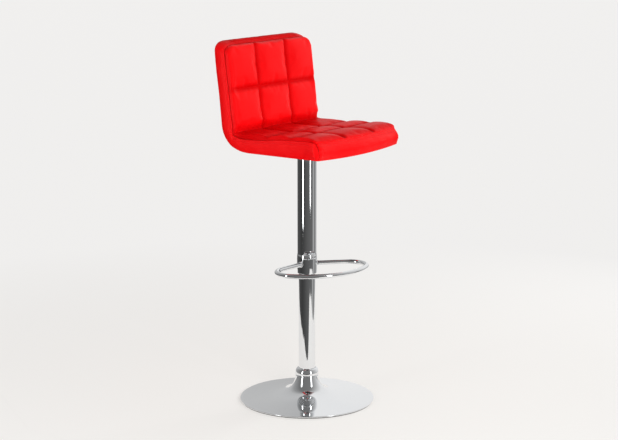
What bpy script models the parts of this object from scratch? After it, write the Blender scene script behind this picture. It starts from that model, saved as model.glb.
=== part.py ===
"""Adjustable swivel stool: a padded L-shaped seat on a gas-lift column with a footrest and a
trumpet base.

Metres, +Z up. The origin is on the floor under the column. The sitter faces -Y, and the height
lever is on the sitter's left, at +X. The stool is modelled at its greatest seat height.
"""

import math

import bmesh
import bpy
from mathutils import Matrix, Vector

# Fits
GAP = 0.0003                  # clearance between neighbouring pieces
RELEASE_GAP = 0.0003          # play between the lever's arm and the release pin
STROKE = 0.210                # how far the seat can come down from here

# Base
BASE_RADIUS = 0.200
BASE_WALL = 0.0016
RIM_HEIGHT = 0.0026           # upright edge of the dish
DISH_SLOPE = 0.100            # rise of the dish per unit of radius
NECK_HEIGHT = 0.0735          # top of the dish's neck above the floor
TRUMPET_SPREAD = 0.0209       # the larger, the softer the trumpet's flare
FLOOR_RING_HEIGHT = 0.0027
FLOOR_RING_WIDTH = 0.012
FLOOR_RING_INSET = 0.002
UNDERPLATE_THICKNESS = 0.0012
UNDERPLATE_HOLE = 0.022
BALLAST_OUTER_RADIUS = 0.172
BALLAST_INNER_RADIUS = 0.045
SOCKET_WALL = 0.0055
SOCKET_WELD_GAP = 0.0011      # between the socket and the inside of the neck
SOCKET_BOTTOM = 0.0060
FOOT_COLLAR_BULGE = 0.0020    # how far the collar stands out past the neck
FOOT_COLLAR_LEDGE = 0.0007    # and how far it does at its foot
FOOT_COLLAR_HEIGHT = 0.0240

# Column
STANDING_TUBE_RADIUS = 0.0250
STANDING_TUBE_WALL = 0.0015
STANDING_TUBE_BOTTOM = 0.0180
LOWERED_CLEARANCE = 0.0074    # left above the standing tube with the seat right down
TUBE_FLOOR = 0.0035
GUIDE_BUSH_LENGTH = 0.0800
GUIDE_BUSH_LIP = 0.0025
PRESSURE_TUBE_RADIUS = 0.0140
PRESSURE_TUBE_WALL = 0.0013
PRESSURE_TUBE_OVERLAP = 0.1850    # inside the standing tube at full height
TAPER_LENGTH = 0.0455
TAPER = 0.0008                # how much the radius loses along the taper
COVER_TUBE_WALL = 0.0012
COVER_TUBE_SPACE = 0.0018     # between the standing tube and the cover tube
COVER_TUBE_OVERLAP = 0.0800   # over the standing tube at full height
TOP_RING_HEIGHT = 0.0122
BUSH_HEIGHT = 0.0200

# Gas spring and thrust bearing
ROD_RADIUS = 0.0050
ROD_PLAY = 0.0004             # between the rod and the ball cage
ROD_BOTTOM = 0.0120
ROD_END = 0.0050              # the rod stands this far past the piston
ROD_CLIP_WIDTH = 0.0030
ROD_CLIP_THICKNESS = 0.0014
ROD_SHOULDER_WIDTH = 0.0045
ROD_SHOULDER_HEIGHT = 0.0036
RACE_THICKNESS = 0.0032
BALL_RADIUS = 0.0024
BALL_COUNT = 6
CAGE_THICKNESS = 0.0020
CAGE_WALL = 0.0006            # left between a ball's pocket and the cage's edges
GUIDE_HEIGHT = 0.0120
GUIDE_INSET = 0.0030
SEAL_HEIGHT = 0.0060
PISTON_CLEARANCE = 0.0080     # between the rod seal and the piston at full height
PISTON_HEIGHT = 0.0120
PISTON_GROOVE_HEIGHT = 0.0046
PISTON_GROOVE_DEPTH = 0.0016
VALVE_HEIGHT = 0.0420
PIN_RADIUS = 0.0030
PIN_TIP_RADIUS = 0.0015
PIN_LENGTH = 0.0370
PIN_STANDS_OUT = 0.0067       # above the pressure tube

# Footrest
FOOTREST_RISE = 0.0270        # centre line of the bar above the cover tube's lower end
FOOTREST_BAR_RADIUS = 0.0070
FOOTREST_REACH = 0.1770       # column axis to the front of the bar's centre line
FOOTREST_FRONT_RADIUS = 0.1830
FOOTREST_CORNER_RADIUS = 0.0520
FOOTREST_SWEEP = math.radians(20.0)   # arms swept forward from straight sideways
FOOTREST_TURN = math.radians(-24.0)   # the footrest's setting relative to the seat
FOOTREST_COLLAR_WALL = 0.0012
FOOTREST_COLLAR_LIP = 0.0015  # the collar reaches this far below the cover tube
FOOTREST_COLLAR_HEIGHT = 0.0565
FOOTREST_COLLAR_CHAMFER = 0.0120

# Seat and back
SEAT_BOTTOM = 0.7650
SEAT_THICKNESS = 0.0590
SEAT_WIDTH = 0.4060
SEAT_CORNER_Y = -0.1850       # front corners at the seat's lower edge
SEAT_BOW = 0.0140             # how far the front edge bows forward of its corners
SEAT_CORNER_RADIUS = 0.0120
FRONT_SLANT = 0.245           # the front face leans back by this much per unit of height
BACK_HEIGHT = 0.3130          # from the seat's underside to the top of the back
BACK_THICKNESS = 0.0400
BACK_RECLINE = math.radians(7.4)
BACK_REAR_Y = 0.1540          # where the back's rear face is, at the height below
BACK_REAR_RISE = 0.1170       # above the seat's underside
BACK_CORNER_RADIUS = 0.0450
REAR_BEND_RADIUS = 0.0850
INNER_BEND_RADIUS = 0.0200
SKIN = 0.0015
QUILT = 0.0030
DUST_COVER = 0.0010
PLY = 0.0120

# Seat plate and lever
PLATE_SIZE = 0.1280
PLATE_THICKNESS = 0.0025
TRAY_LENGTH = 0.1100
TRAY_WIDTH = 0.0900
TRAY_DEPTH = 0.0265
TRAY_CLEARANCE = 0.0012       # between the cover tube and the tray
SCREW_SPACING = 0.1040
SCREW_RADIUS = 0.0030
SCREW_HEAD_RADIUS = 0.0055
SCREW_HEAD_HEIGHT = 0.0033
SCREW_SOCKET_RADIUS = 0.0019
SCREW_ENGAGEMENT = 0.0100
SCREW_HOLE_CLEARANCE = 0.0004
TEE_NUT_BARREL_WALL = 0.0010
TEE_NUT_FLANGE_RADIUS = 0.0095
TEE_NUT_FLANGE = 0.0014
TEE_NUT_LENGTH = 0.0095
HUB_WALL = 0.0060
HUB_HEIGHT = 0.0460
HUB_OVER_TUBE = 0.0030        # how far the hub stands above the tube's tapered end
PIVOT_CLEARANCE = 0.0040      # between the hub and the lever's bracket
LEVER_RADIUS = 0.0040
LEVER_DROP = 0.0055           # pivot pin's centre below the plate's rim
LEVER_REACH = 0.1980          # column axis to the lever's outer end
LEVER_SLOPE = math.radians(9.0)
LEVER_ARM_OVERHANG = 0.0060   # the inner arm runs this far past the column axis
LEVER_TRAVEL = math.radians(5.0)
GRIP_RADIUS = 0.0075
GRIP_LENGTH = 0.0550
PIVOT_PIN_RADIUS = 0.0020
EAR_THICKNESS = 0.0020
EAR_WIDTH = 0.0120
EAR_GAP = 0.0013              # between the lever and each ear

# Facets
ROUND = 40
DISH_ROUND = 56
SMALL_ROUND = 24
HOLE_ROUND = 16
BALL_POCKET_ROUND = 12

# Heights and radii that follow from the sizes above
DISH_RIM_BOTTOM = FLOOR_RING_HEIGHT + GAP
DISH_RIM_TOP = DISH_RIM_BOTTOM + RIM_HEIGHT
SOCKET_BORE = STANDING_TUBE_RADIUS + GAP
NECK_RADIUS = SOCKET_BORE + SOCKET_WALL + SOCKET_WELD_GAP + BASE_WALL
TRUMPET_ROOT = NECK_RADIUS - TRUMPET_SPREAD   # where the trumpet's curve would run to infinity
FOOT_COLLAR_RADIUS = NECK_RADIUS + FOOT_COLLAR_BULGE
TUBE_FLOOR_TOP = STANDING_TUBE_BOTTOM + TUBE_FLOOR
LOWER_RACE_TOP = TUBE_FLOOR_TOP + GAP + RACE_THICKNESS
BALL_HEIGHT = LOWER_RACE_TOP + GAP + BALL_RADIUS
UPPER_RACE_BOTTOM = BALL_HEIGHT + BALL_RADIUS + GAP
UPPER_RACE_TOP = UPPER_RACE_BOTTOM + RACE_THICKNESS
SHOULDER_BOTTOM = UPPER_RACE_TOP + GAP
SHOULDER_TOP = SHOULDER_BOTTOM + ROD_SHOULDER_HEIGHT
BUMPER_BOTTOM = SHOULDER_TOP + GAP
BALL_POCKET_RADIUS = BALL_RADIUS + GAP
CAGE_HALF = BALL_POCKET_RADIUS + CAGE_WALL
BALL_CIRCLE_RADIUS = ROD_RADIUS + ROD_PLAY + CAGE_HALF
RACE_RADIUS = BALL_CIRCLE_RADIUS + CAGE_HALF

PLATE_TOP = SEAT_BOTTOM - GAP
PLATE_BOTTOM = PLATE_TOP - PLATE_THICKNESS
TRAY_FLOOR_BOTTOM = PLATE_TOP - TRAY_DEPTH - PLATE_THICKNESS
TRAY_FLOOR_TOP = TRAY_FLOOR_BOTTOM + PLATE_THICKNESS
LEVER_HEIGHT = PLATE_BOTTOM - LEVER_DROP
HUB_RADIUS = PRESSURE_TUBE_RADIUS + HUB_WALL
LEVER_PIVOT_X = HUB_RADIUS + PIVOT_CLEARANCE + EAR_WIDTH / 2.0
TAPER_TIP_RADIUS = PRESSURE_TUBE_RADIUS - TAPER
PIN_TOP = LEVER_HEIGHT - LEVER_RADIUS - RELEASE_GAP
PRESSURE_TUBE_TOP = PIN_TOP - PIN_STANDS_OUT
TAPER_BOTTOM = PRESSURE_TUBE_TOP - TAPER_LENGTH
HUB_TOP = PRESSURE_TUBE_TOP + HUB_OVER_TUBE
HUB_BOTTOM = HUB_TOP - HUB_HEIGHT
TOP_RING_TOP = HUB_BOTTOM - GAP
COVER_TUBE_TOP = TRAY_FLOOR_BOTTOM - TRAY_CLEARANCE
COVER_TUBE_BORE = STANDING_TUBE_RADIUS + COVER_TUBE_SPACE
COVER_TUBE_RADIUS = COVER_TUBE_BORE + COVER_TUBE_WALL
STANDING_TUBE_TOP = (TOP_RING_TOP - TOP_RING_HEIGHT - STROKE - GUIDE_BUSH_LIP - GAP
                     - LOWERED_CLEARANCE)
COVER_TUBE_BOTTOM = STANDING_TUBE_TOP - COVER_TUBE_OVERLAP
PRESSURE_TUBE_BOTTOM = STANDING_TUBE_TOP - PRESSURE_TUBE_OVERLAP
PRESSURE_TUBE_BORE = PRESSURE_TUBE_RADIUS - PRESSURE_TUBE_WALL
BUMPER_TOP = PRESSURE_TUBE_BOTTOM - STROKE - GAP
ROD_GUIDE_BOTTOM = PRESSURE_TUBE_BOTTOM + GUIDE_INSET
ROD_SEAL_BOTTOM = ROD_GUIDE_BOTTOM + GUIDE_HEIGHT + GAP
PISTON_BOTTOM = ROD_SEAL_BOTTOM + SEAL_HEIGHT + PISTON_CLEARANCE
ROD_TOP = PISTON_BOTTOM + PISTON_HEIGHT + ROD_END
FOOTREST_HEIGHT = COVER_TUBE_BOTTOM + FOOTREST_RISE
FOOTREST_COLLAR_BOTTOM = COVER_TUBE_BOTTOM - FOOTREST_COLLAR_LIP

SEAT_TOP = SEAT_BOTTOM + SEAT_THICKNESS
BACK_TOP = SEAT_BOTTOM + BACK_HEIGHT
BACK_REAR_POINT = (BACK_REAR_Y, SEAT_BOTTOM + BACK_REAR_RISE)
PLY_BOTTOM = SEAT_BOTTOM + SKIN + GAP
PLY_TOP = PLY_BOTTOM + PLY

COLLECTION_NAME = "adjustable_swivel_stool"


def clear_scene():
    for item in list(bpy.data.objects):
        bpy.data.objects.remove(item, do_unlink=True)


def make_collections():
    parts = bpy.data.collections.new(COLLECTION_NAME)
    cutters = bpy.data.collections.new("cutters")
    for collection in (parts, cutters):
        bpy.context.scene.collection.children.link(collection)
    return parts, cutters


def make_finish(name, color, metallic, roughness):
    """A Principled material for one piece."""
    material = bpy.data.materials.new(name)
    material.use_nodes = True
    shader = material.node_tree.nodes["Principled BSDF"]
    shader.inputs["Base Color"].default_value = (*color, 1.0)
    shader.inputs["Metallic"].default_value = metallic
    shader.inputs["Roughness"].default_value = roughness
    material.diffuse_color = (*color, 1.0)
    return material


FINISHES = {
    "chrome": ((0.80, 0.81, 0.83), 1.0, 0.06),
    "steel": ((0.56, 0.57, 0.58), 1.0, 0.35),
    "black_steel": ((0.03, 0.03, 0.035), 0.6, 0.45),
    "cast_iron": ((0.07, 0.07, 0.075), 0.8, 0.70),
    "brass": ((0.72, 0.53, 0.24), 1.0, 0.30),
    "rubber": ((0.02, 0.02, 0.02), 0.0, 0.80),
    "nylon": ((0.75, 0.74, 0.70), 0.0, 0.45),
    "black_plastic": ((0.03, 0.03, 0.03), 0.0, 0.40),
    "red_leather": ((0.72, 0.01, 0.015), 0.0, 0.38),
    "foam": ((0.80, 0.74, 0.50), 0.0, 0.95),
    "plywood": ((0.60, 0.43, 0.26), 0.0, 0.65),
    "dust_cloth": ((0.025, 0.025, 0.028), 0.0, 0.90),
}


def add_piece(name, data, finish):
    """Link a mesh or curve as a named sub-part with a material of its own."""
    piece = bpy.data.objects.new(name, data)
    parts.objects.link(piece)
    data.materials.clear()
    data.materials.append(make_finish(name + "_finish", *FINISHES[finish]))
    return piece


def make_cutter(cutter):
    """Turn an object into a boolean tool that is never built."""
    for collection in list(cutter.users_collection):
        collection.objects.unlink(cutter)
    cutters.objects.link(cutter)
    cutter.hide_render = True
    cutter.display_type = "WIRE"
    return cutter


def combine(piece, tool, operation):
    modifier = piece.modifiers.new(operation.lower() + "_" + tool.name, "BOOLEAN")
    modifier.operation = operation
    modifier.solver = "EXACT"
    modifier.object = tool
    return piece


def arc(centre, radius, start, end, steps):
    """Points on a circle's arc between two angles, ends included."""
    angles = [start + (end - start) * i / steps for i in range(steps + 1)]
    return [(centre[0] + radius * math.cos(a), centre[1] + radius * math.sin(a)) for a in angles]


# Turned pieces

def turned(name, finish, profile, ring=True, segments=ROUND):
    """A turned piece from (radius, height) points that run down its outer side.

    A ring's profile closes on itself. Any other profile starts and ends on the axis.
    """
    mesh = bpy.data.meshes.new(name)
    edges = [(i, i + 1) for i in range(len(profile) - 1)]
    if ring:
        edges.append((len(profile) - 1, 0))
    mesh.from_pydata([(radius, 0.0, height) for radius, height in profile], edges, [])
    piece = add_piece(name, mesh, finish)
    screw = piece.modifiers.new("turn", "SCREW")
    screw.axis = "Z"
    screw.angle = 2.0 * math.pi
    screw.steps = segments
    screw.render_steps = segments
    screw.use_merge_vertices = True
    screw.merge_threshold = 0.00002
    screw.use_smooth_shade = True
    return piece


def washer(name, finish, outer, inner, bottom, top, segments=ROUND, edge=0.0):
    """A plain ring with square or chamfered outer edges."""
    profile = [(inner, top), (outer - edge, top)]
    if edge:
        profile.append((outer, top - edge))
        profile.append((outer, bottom + edge))
    else:
        profile.append((outer, bottom))
    if edge:
        profile.append((outer - edge, bottom))
    profile.append((inner, bottom))
    return turned(name, finish, profile, True, segments)


def tool_cylinder(name, radius, bottom, top, at=(0.0, 0.0), segments=SMALL_ROUND):
    """An upright cylinder used as a boolean tool."""
    mesh = bpy.data.meshes.new(name)
    shape = bmesh.new()
    bmesh.ops.create_cone(shape, cap_ends=True, segments=segments, radius1=radius, radius2=radius,
                          depth=top - bottom)
    shape.to_mesh(mesh)
    shape.free()
    tool = bpy.data.objects.new(name, mesh)
    parts.objects.link(tool)
    tool.location = (at[0], at[1], (top + bottom) / 2.0)
    return make_cutter(tool)


def box_mesh(name, low, high):
    """A box between two corners, with its place in the mesh."""
    mesh = bpy.data.meshes.new(name)
    shape = bmesh.new()
    bmesh.ops.create_cube(shape, size=1.0)
    size = [high[i] - low[i] for i in range(3)]
    centre = [(high[i] + low[i]) / 2.0 for i in range(3)]
    bmesh.ops.transform(shape, matrix=Matrix.Translation(centre) @ Matrix.Diagonal((*size, 1.0)),
                        verts=shape.verts)
    shape.to_mesh(mesh)
    shape.free()
    return mesh


def tool_box(name, low, high):
    tool = bpy.data.objects.new(name, box_mesh(name, low, high))
    parts.objects.link(tool)
    return make_cutter(tool)


# Outlines with a thickness

PLANES = {
    "side": Matrix(((0, 0, 1, 0), (1, 0, 0, 0), (0, 1, 0, 0), (0, 0, 0, 1))),     # (y, z) along X
    "front": Matrix(((1, 0, 0, 0), (0, 0, -1, 0), (0, 1, 0, 0), (0, 0, 0, 1))),   # (x, z) along Y
    "plan": Matrix.Identity(4),                                                     # (x, y) along Z
}


def meshed(curve_object):
    """Replace a curve object by the welded mesh of its evaluated shape."""
    bpy.context.view_layer.update()
    depsgraph = bpy.context.evaluated_depsgraph_get()
    mesh = bpy.data.meshes.new_from_object(curve_object.evaluated_get(depsgraph))
    shape = bmesh.new()
    shape.from_mesh(mesh)
    bmesh.ops.remove_doubles(shape, verts=shape.verts, dist=0.00001)
    bmesh.ops.recalc_face_normals(shape, faces=shape.faces)
    shape.to_mesh(mesh)
    shape.free()
    name = curve_object.name
    place = curve_object.matrix_world.copy()
    collections = list(curve_object.users_collection)
    bpy.data.objects.remove(curve_object, do_unlink=True)
    mesh.name = name
    piece = bpy.data.objects.new(name, mesh)
    for collection in collections:
        collection.objects.link(piece)
    piece.matrix_world = place
    return piece


def outline_solid(name, finish, outline, thickness, plane, middle=0.0):
    """A flat outline extruded to a thickness about a middle plane."""
    curve = bpy.data.curves.new(name, "CURVE")
    curve.dimensions = "2D"
    curve.fill_mode = "BOTH"
    curve.extrude = thickness / 2.0
    spline = curve.splines.new("POLY")
    spline.points.add(len(outline) - 1)
    for point, (u, v) in zip(spline.points, outline):
        point.co = (u, v, 0.0, 1.0)
    spline.use_cyclic_u = True
    solid = add_piece(name, curve, finish)
    solid.matrix_world = PLANES[plane] @ Matrix.Translation((0.0, 0.0, middle))
    return meshed(solid)


# Base

def dish_height(radius):
    """The trumpet: a shallow cone plus a term that grows as the neck is reached."""
    cone = DISH_RIM_TOP + DISH_SLOPE * (BASE_RADIUS - radius)
    neck_cone = DISH_RIM_TOP + DISH_SLOPE * (BASE_RADIUS - NECK_RADIUS)
    strength = (NECK_HEIGHT - neck_cone) * (NECK_RADIUS - TRUMPET_ROOT) ** 2
    return cone + strength / (radius - TRUMPET_ROOT) ** 2


def dish_radii(outer, inner, count):
    """Radii that crowd towards the neck, where the trumpet curves most."""
    ratio = (inner - TRUMPET_ROOT) / (outer - TRUMPET_ROOT)
    return [TRUMPET_ROOT + (outer - TRUMPET_ROOT) * ratio ** (i / (count - 1)) for i in range(count)]


def dish_inside(radius):
    """The point one wall below the dish's outer face, measured square to it."""
    step = 0.00005
    slope = (dish_height(radius + step) - dish_height(radius - step)) / (2.0 * step)
    length = math.hypot(slope, 1.0)
    return radius + slope / length * BASE_WALL, dish_height(radius) - BASE_WALL / length


def make_base():
    outer = [(r, dish_height(r)) for r in reversed(dish_radii(BASE_RADIUS - 0.0008, NECK_RADIUS, 12))]
    rim = [(BASE_RADIUS, DISH_RIM_TOP - 0.0006), (BASE_RADIUS, DISH_RIM_BOTTOM),
           (BASE_RADIUS - BASE_WALL, DISH_RIM_BOTTOM)]
    inner = [dish_inside(r) for r in dish_radii(BASE_RADIUS - 0.004, NECK_RADIUS + 0.0002, 9)]
    neck_inside = [(NECK_RADIUS - BASE_WALL, NECK_HEIGHT)]
    turned("base_dish", "chrome", outer + rim + inner + neck_inside, True, DISH_ROUND)

    washer("floor_ring", "rubber", BASE_RADIUS - FLOOR_RING_INSET,
           BASE_RADIUS - FLOOR_RING_INSET - FLOOR_RING_WIDTH, 0.0, FLOOR_RING_HEIGHT)

    plate_bottom = DISH_RIM_BOTTOM
    plate_top = plate_bottom + UNDERPLATE_THICKNESS
    washer("base_underplate", "black_steel", BASE_RADIUS - 0.012, UNDERPLATE_HOLE, plate_bottom, plate_top)

    ballast_bottom = plate_top + GAP
    profile = [(r, z - 2.0 * GAP) for r, z in reversed(inner)
               if BALLAST_INNER_RADIUS < r < BALLAST_OUTER_RADIUS]
    profile += [(profile[-1][0], ballast_bottom), (profile[0][0], ballast_bottom)]
    turned("base_ballast", "cast_iron", profile, True, DISH_ROUND)

    washer("base_socket", "steel", SOCKET_BORE + SOCKET_WALL, SOCKET_BORE, SOCKET_BOTTOM,
           NECK_HEIGHT - 0.004, ROUND, 0.0005)

    bottom = NECK_HEIGHT + GAP
    bore = SOCKET_BORE
    bulge_height = bottom + FOOT_COLLAR_HEIGHT * 0.30
    shoulder = arc((bore, bulge_height), 1.0, math.pi / 2.0, 0.0, 7)
    profile = []
    for radius, height in shoulder:
        across = (radius - bore) * (FOOT_COLLAR_RADIUS - bore)
        rise = (height - bulge_height) * (bottom + FOOT_COLLAR_HEIGHT - bulge_height)
        profile.append((bore + max(across, 0.0006), bulge_height + rise))
    profile += [(FOOT_COLLAR_RADIUS, bulge_height - 0.0030), (NECK_RADIUS + FOOT_COLLAR_LEDGE, bottom),
                (bore, bottom)]
    profile.append((bore, profile[0][1]))
    turned("foot_collar", "chrome", profile)


# Column

def make_standing_tube():
    outer = STANDING_TUBE_RADIUS
    bore = outer - STANDING_TUBE_WALL
    rod_hole = ROD_RADIUS + 2.0 * GAP
    profile = [(bore, STANDING_TUBE_TOP), (outer, STANDING_TUBE_TOP), (outer, STANDING_TUBE_BOTTOM),
               (rod_hole, STANDING_TUBE_BOTTOM), (rod_hole, TUBE_FLOOR_TOP), (bore, TUBE_FLOOR_TOP)]
    turned("standing_tube", "chrome", profile)

    bush_outer = bore - GAP
    bush_bore = PRESSURE_TUBE_RADIUS + GAP
    bush_top = STANDING_TUBE_TOP + GAP + GUIDE_BUSH_LIP
    lip = [(bush_bore, bush_top), (outer, bush_top), (outer, bush_top - GUIDE_BUSH_LIP),
           (bush_outer, bush_top - GUIDE_BUSH_LIP)]
    foot = [(bush_outer, STANDING_TUBE_TOP - GUIDE_BUSH_LENGTH),
            (bush_bore, STANDING_TUBE_TOP - GUIDE_BUSH_LENGTH)]
    turned("guide_bush", "nylon", lip + foot)


def make_thrust_bearing():
    bore = ROD_RADIUS + 2.0 * GAP
    washer("bearing_lower_race", "steel", RACE_RADIUS, bore, TUBE_FLOOR_TOP + GAP, LOWER_RACE_TOP,
           SMALL_ROUND, 0.0004)
    washer("bearing_upper_race", "steel", RACE_RADIUS, ROD_RADIUS + GAP, UPPER_RACE_BOTTOM,
           UPPER_RACE_TOP, SMALL_ROUND, 0.0004)
    cage = washer("bearing_cage", "brass", BALL_CIRCLE_RADIUS + CAGE_HALF, BALL_CIRCLE_RADIUS - CAGE_HALF,
                  BALL_HEIGHT - CAGE_THICKNESS / 2.0, BALL_HEIGHT + CAGE_THICKNESS / 2.0, SMALL_ROUND)
    for index in range(BALL_COUNT):
        angle = 2.0 * math.pi * index / BALL_COUNT
        place = (BALL_CIRCLE_RADIUS * math.cos(angle), BALL_CIRCLE_RADIUS * math.sin(angle))
        pocket = tool_cylinder("ball_pocket_%d" % (index + 1), BALL_POCKET_RADIUS,
                               BALL_HEIGHT - CAGE_THICKNESS, BALL_HEIGHT + CAGE_THICKNESS, place, BALL_POCKET_ROUND)
        combine(cage, pocket, "DIFFERENCE")
        mesh = bpy.data.meshes.new("bearing_ball")
        shape = bmesh.new()
        bmesh.ops.create_uvsphere(shape, u_segments=10, v_segments=6, radius=BALL_RADIUS)
        shape.to_mesh(mesh)
        shape.free()
        mesh.shade_smooth()
        ball = add_piece("bearing_ball_%d" % (index + 1), mesh, "steel")
        ball.location = (place[0], place[1], BALL_HEIGHT)


def make_gas_spring():
    groove_bottom = ROD_BOTTOM + 0.0025
    groove_top = groove_bottom + ROD_CLIP_THICKNESS + 2.0 * GAP
    groove_radius = ROD_RADIUS - 0.0010
    shoulder_radius = ROD_RADIUS + ROD_SHOULDER_WIDTH
    profile = [(0.0, ROD_TOP), (ROD_RADIUS - 0.0006, ROD_TOP), (ROD_RADIUS, ROD_TOP - 0.0006),
               (ROD_RADIUS, SHOULDER_TOP), (shoulder_radius, SHOULDER_TOP),
               (shoulder_radius, SHOULDER_BOTTOM), (ROD_RADIUS, SHOULDER_BOTTOM),
               (ROD_RADIUS, groove_top), (groove_radius, groove_top), (groove_radius, groove_bottom),
               (ROD_RADIUS, groove_bottom), (ROD_RADIUS, ROD_BOTTOM), (0.0, ROD_BOTTOM)]
    turned("piston_rod", "steel", profile, False, SMALL_ROUND)
    washer("rod_clip", "steel", ROD_RADIUS + ROD_CLIP_WIDTH, groove_radius + GAP, groove_bottom + GAP,
           groove_top - GAP, SMALL_ROUND)
    around_rod = ROD_RADIUS + GAP
    washer("rod_bumper", "rubber", RACE_RADIUS, around_rod, BUMPER_BOTTOM, BUMPER_TOP, SMALL_ROUND,
           0.0015)

    bore = PRESSURE_TUBE_BORE
    tip = PRESSURE_TUBE_TOP
    pin_hole = PIN_RADIUS + 2.0 * GAP
    lid_bottom = tip - 0.0025
    tip_bore = TAPER_TIP_RADIUS - PRESSURE_TUBE_WALL
    profile = [(pin_hole, tip), (TAPER_TIP_RADIUS - 0.0005, tip), (TAPER_TIP_RADIUS, tip - 0.0005),
               (PRESSURE_TUBE_RADIUS, TAPER_BOTTOM), (PRESSURE_TUBE_RADIUS, PRESSURE_TUBE_BOTTOM),
               (bore, PRESSURE_TUBE_BOTTOM), (bore, TAPER_BOTTOM), (tip_bore, lid_bottom),
               (pin_hole, lid_bottom)]
    turned("pressure_tube", "chrome", profile)

    inside = bore - GAP
    washer("rod_guide", "nylon", inside, around_rod, ROD_GUIDE_BOTTOM, ROD_GUIDE_BOTTOM + GUIDE_HEIGHT,
           SMALL_ROUND, 0.0005)
    washer("rod_seal", "rubber", inside, around_rod, ROD_SEAL_BOTTOM, ROD_SEAL_BOTTOM + SEAL_HEIGHT,
           SMALL_ROUND, 0.0005)

    top = PISTON_BOTTOM + PISTON_HEIGHT
    groove_middle = (PISTON_BOTTOM + top) / 2.0
    half = PISTON_GROOVE_HEIGHT / 2.0
    floor_radius = inside - PISTON_GROOVE_DEPTH
    profile = [(around_rod, top), (inside, top), (inside, groove_middle + half),
               (floor_radius, groove_middle + half), (floor_radius, groove_middle - half),
               (inside, groove_middle - half), (inside, PISTON_BOTTOM), (around_rod, PISTON_BOTTOM)]
    turned("piston", "steel", profile, True, SMALL_ROUND)
    washer("piston_seal", "rubber", inside, floor_radius + GAP, groove_middle - half + GAP,
           groove_middle + half - GAP, SMALL_ROUND, 0.0004)

    valve_top = lid_bottom - GAP
    valve_bottom = valve_top - VALVE_HEIGHT
    valve_radius = tip_bore - 0.0006
    washer("valve_body", "brass", valve_radius, PIN_RADIUS + GAP, valve_bottom, valve_top,
           SMALL_ROUND, 0.0008)

    profile = [(0.0, PIN_TOP), (PIN_TIP_RADIUS, PIN_TOP), (PIN_RADIUS, PIN_TOP - 0.0012),
               (PIN_RADIUS, PIN_TOP - PIN_LENGTH), (0.0, PIN_TOP - PIN_LENGTH)]
    turned("release_pin", "steel", profile, False, HOLE_ROUND)


def make_cover_tube():
    washer("cover_tube", "chrome", COVER_TUBE_RADIUS, COVER_TUBE_BORE, COVER_TUBE_BOTTOM,
           COVER_TUBE_TOP)
    inside = COVER_TUBE_BORE - GAP
    washer("cover_tube_bush", "nylon", inside, STANDING_TUBE_RADIUS + GAP, COVER_TUBE_BOTTOM + 0.002,
           COVER_TUBE_BOTTOM + 0.002 + BUSH_HEIGHT)
    washer("cover_tube_top_ring", "nylon", inside, PRESSURE_TUBE_RADIUS + GAP,
           TOP_RING_TOP - TOP_RING_HEIGHT, TOP_RING_TOP)


# Footrest

def footrest_path(start_radius):
    """Half of the D-shaped bar, from the collar to the middle of the front.

    A straight arm, a corner arc tangent to it, and a front arc that the corner arc runs into.
    """
    front_centre = Vector((0.0, FOOTREST_FRONT_RADIUS - FOOTREST_REACH))
    along = Vector((math.cos(FOOTREST_SWEEP), -math.sin(FOOTREST_SWEEP)))
    inward = Vector((-math.sin(FOOTREST_SWEEP), -math.cos(FOOTREST_SWEEP)))
    offset = inward * FOOTREST_CORNER_RADIUS - front_centre
    reach = FOOTREST_FRONT_RADIUS - FOOTREST_CORNER_RADIUS
    projected = along.dot(offset)
    run = -projected + math.sqrt(projected ** 2 - offset.length_squared + reach ** 2)
    corner_centre = along * run + inward * FOOTREST_CORNER_RADIUS
    outward = (corner_centre - front_centre).normalized()
    start = math.atan2(-inward.y, -inward.x)
    end = math.atan2(outward.y, outward.x)
    corner = arc(corner_centre, FOOTREST_CORNER_RADIUS, start, end, 9)
    front = arc(front_centre, FOOTREST_FRONT_RADIUS, end, -math.pi / 2.0, 11)
    arm = [tuple(along * (start_radius + (run - start_radius) * i / 3)) for i in range(3)]
    return arm + corner + front[1:]


def make_footrest():
    bore = COVER_TUBE_RADIUS + GAP
    outer = bore + FOOTREST_COLLAR_WALL
    top = FOOTREST_COLLAR_BOTTOM + FOOTREST_COLLAR_HEIGHT
    profile = [(bore, top), (bore + 0.0003, top), (outer, top - FOOTREST_COLLAR_CHAMFER),
               (outer, FOOTREST_COLLAR_BOTTOM + 0.0005), (outer - 0.0005, FOOTREST_COLLAR_BOTTOM),
               (bore, FOOTREST_COLLAR_BOTTOM)]
    turned("footrest_collar", "chrome", profile)

    half = footrest_path(COVER_TUBE_RADIUS)
    path = half + [(-x, y) for x, y in reversed(half[:-1])]
    curve = bpy.data.curves.new("footrest_ring", "CURVE")
    curve.dimensions = "3D"
    curve.bevel_depth = FOOTREST_BAR_RADIUS
    curve.bevel_resolution = 4
    curve.use_fill_caps = True
    spline = curve.splines.new("POLY")
    spline.points.add(len(path) - 1)
    for point, (x, y) in zip(spline.points, path):
        point.co = (x, y, 0.0, 1.0)
    ring = add_piece("footrest_ring", curve, "chrome")
    ring.location = (0.0, 0.0, FOOTREST_HEIGHT)
    ring.rotation_euler = (0.0, 0.0, FOOTREST_TURN)
    ring = meshed(ring)
    column = tool_cylinder("footrest_cope", outer + GAP, FOOTREST_HEIGHT - 0.05,
                           FOOTREST_HEIGHT + 0.05, (0.0, 0.0), ROUND)
    combine(ring, column, "DIFFERENCE")


# Seat plate and lever

def screw_places():
    half = SCREW_SPACING / 2.0
    return [(half, -half), (half, half), (-half, half), (-half, -half)]


def hub_bore(height):
    """The hub's taper follows the tube's tapered end with a clearance."""
    share = (height - TAPER_BOTTOM) / TAPER_LENGTH
    share = max(0.0, min(1.0, share))
    return PRESSURE_TUBE_RADIUS + (TAPER_TIP_RADIUS - PRESSURE_TUBE_RADIUS) * share + GAP


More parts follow.
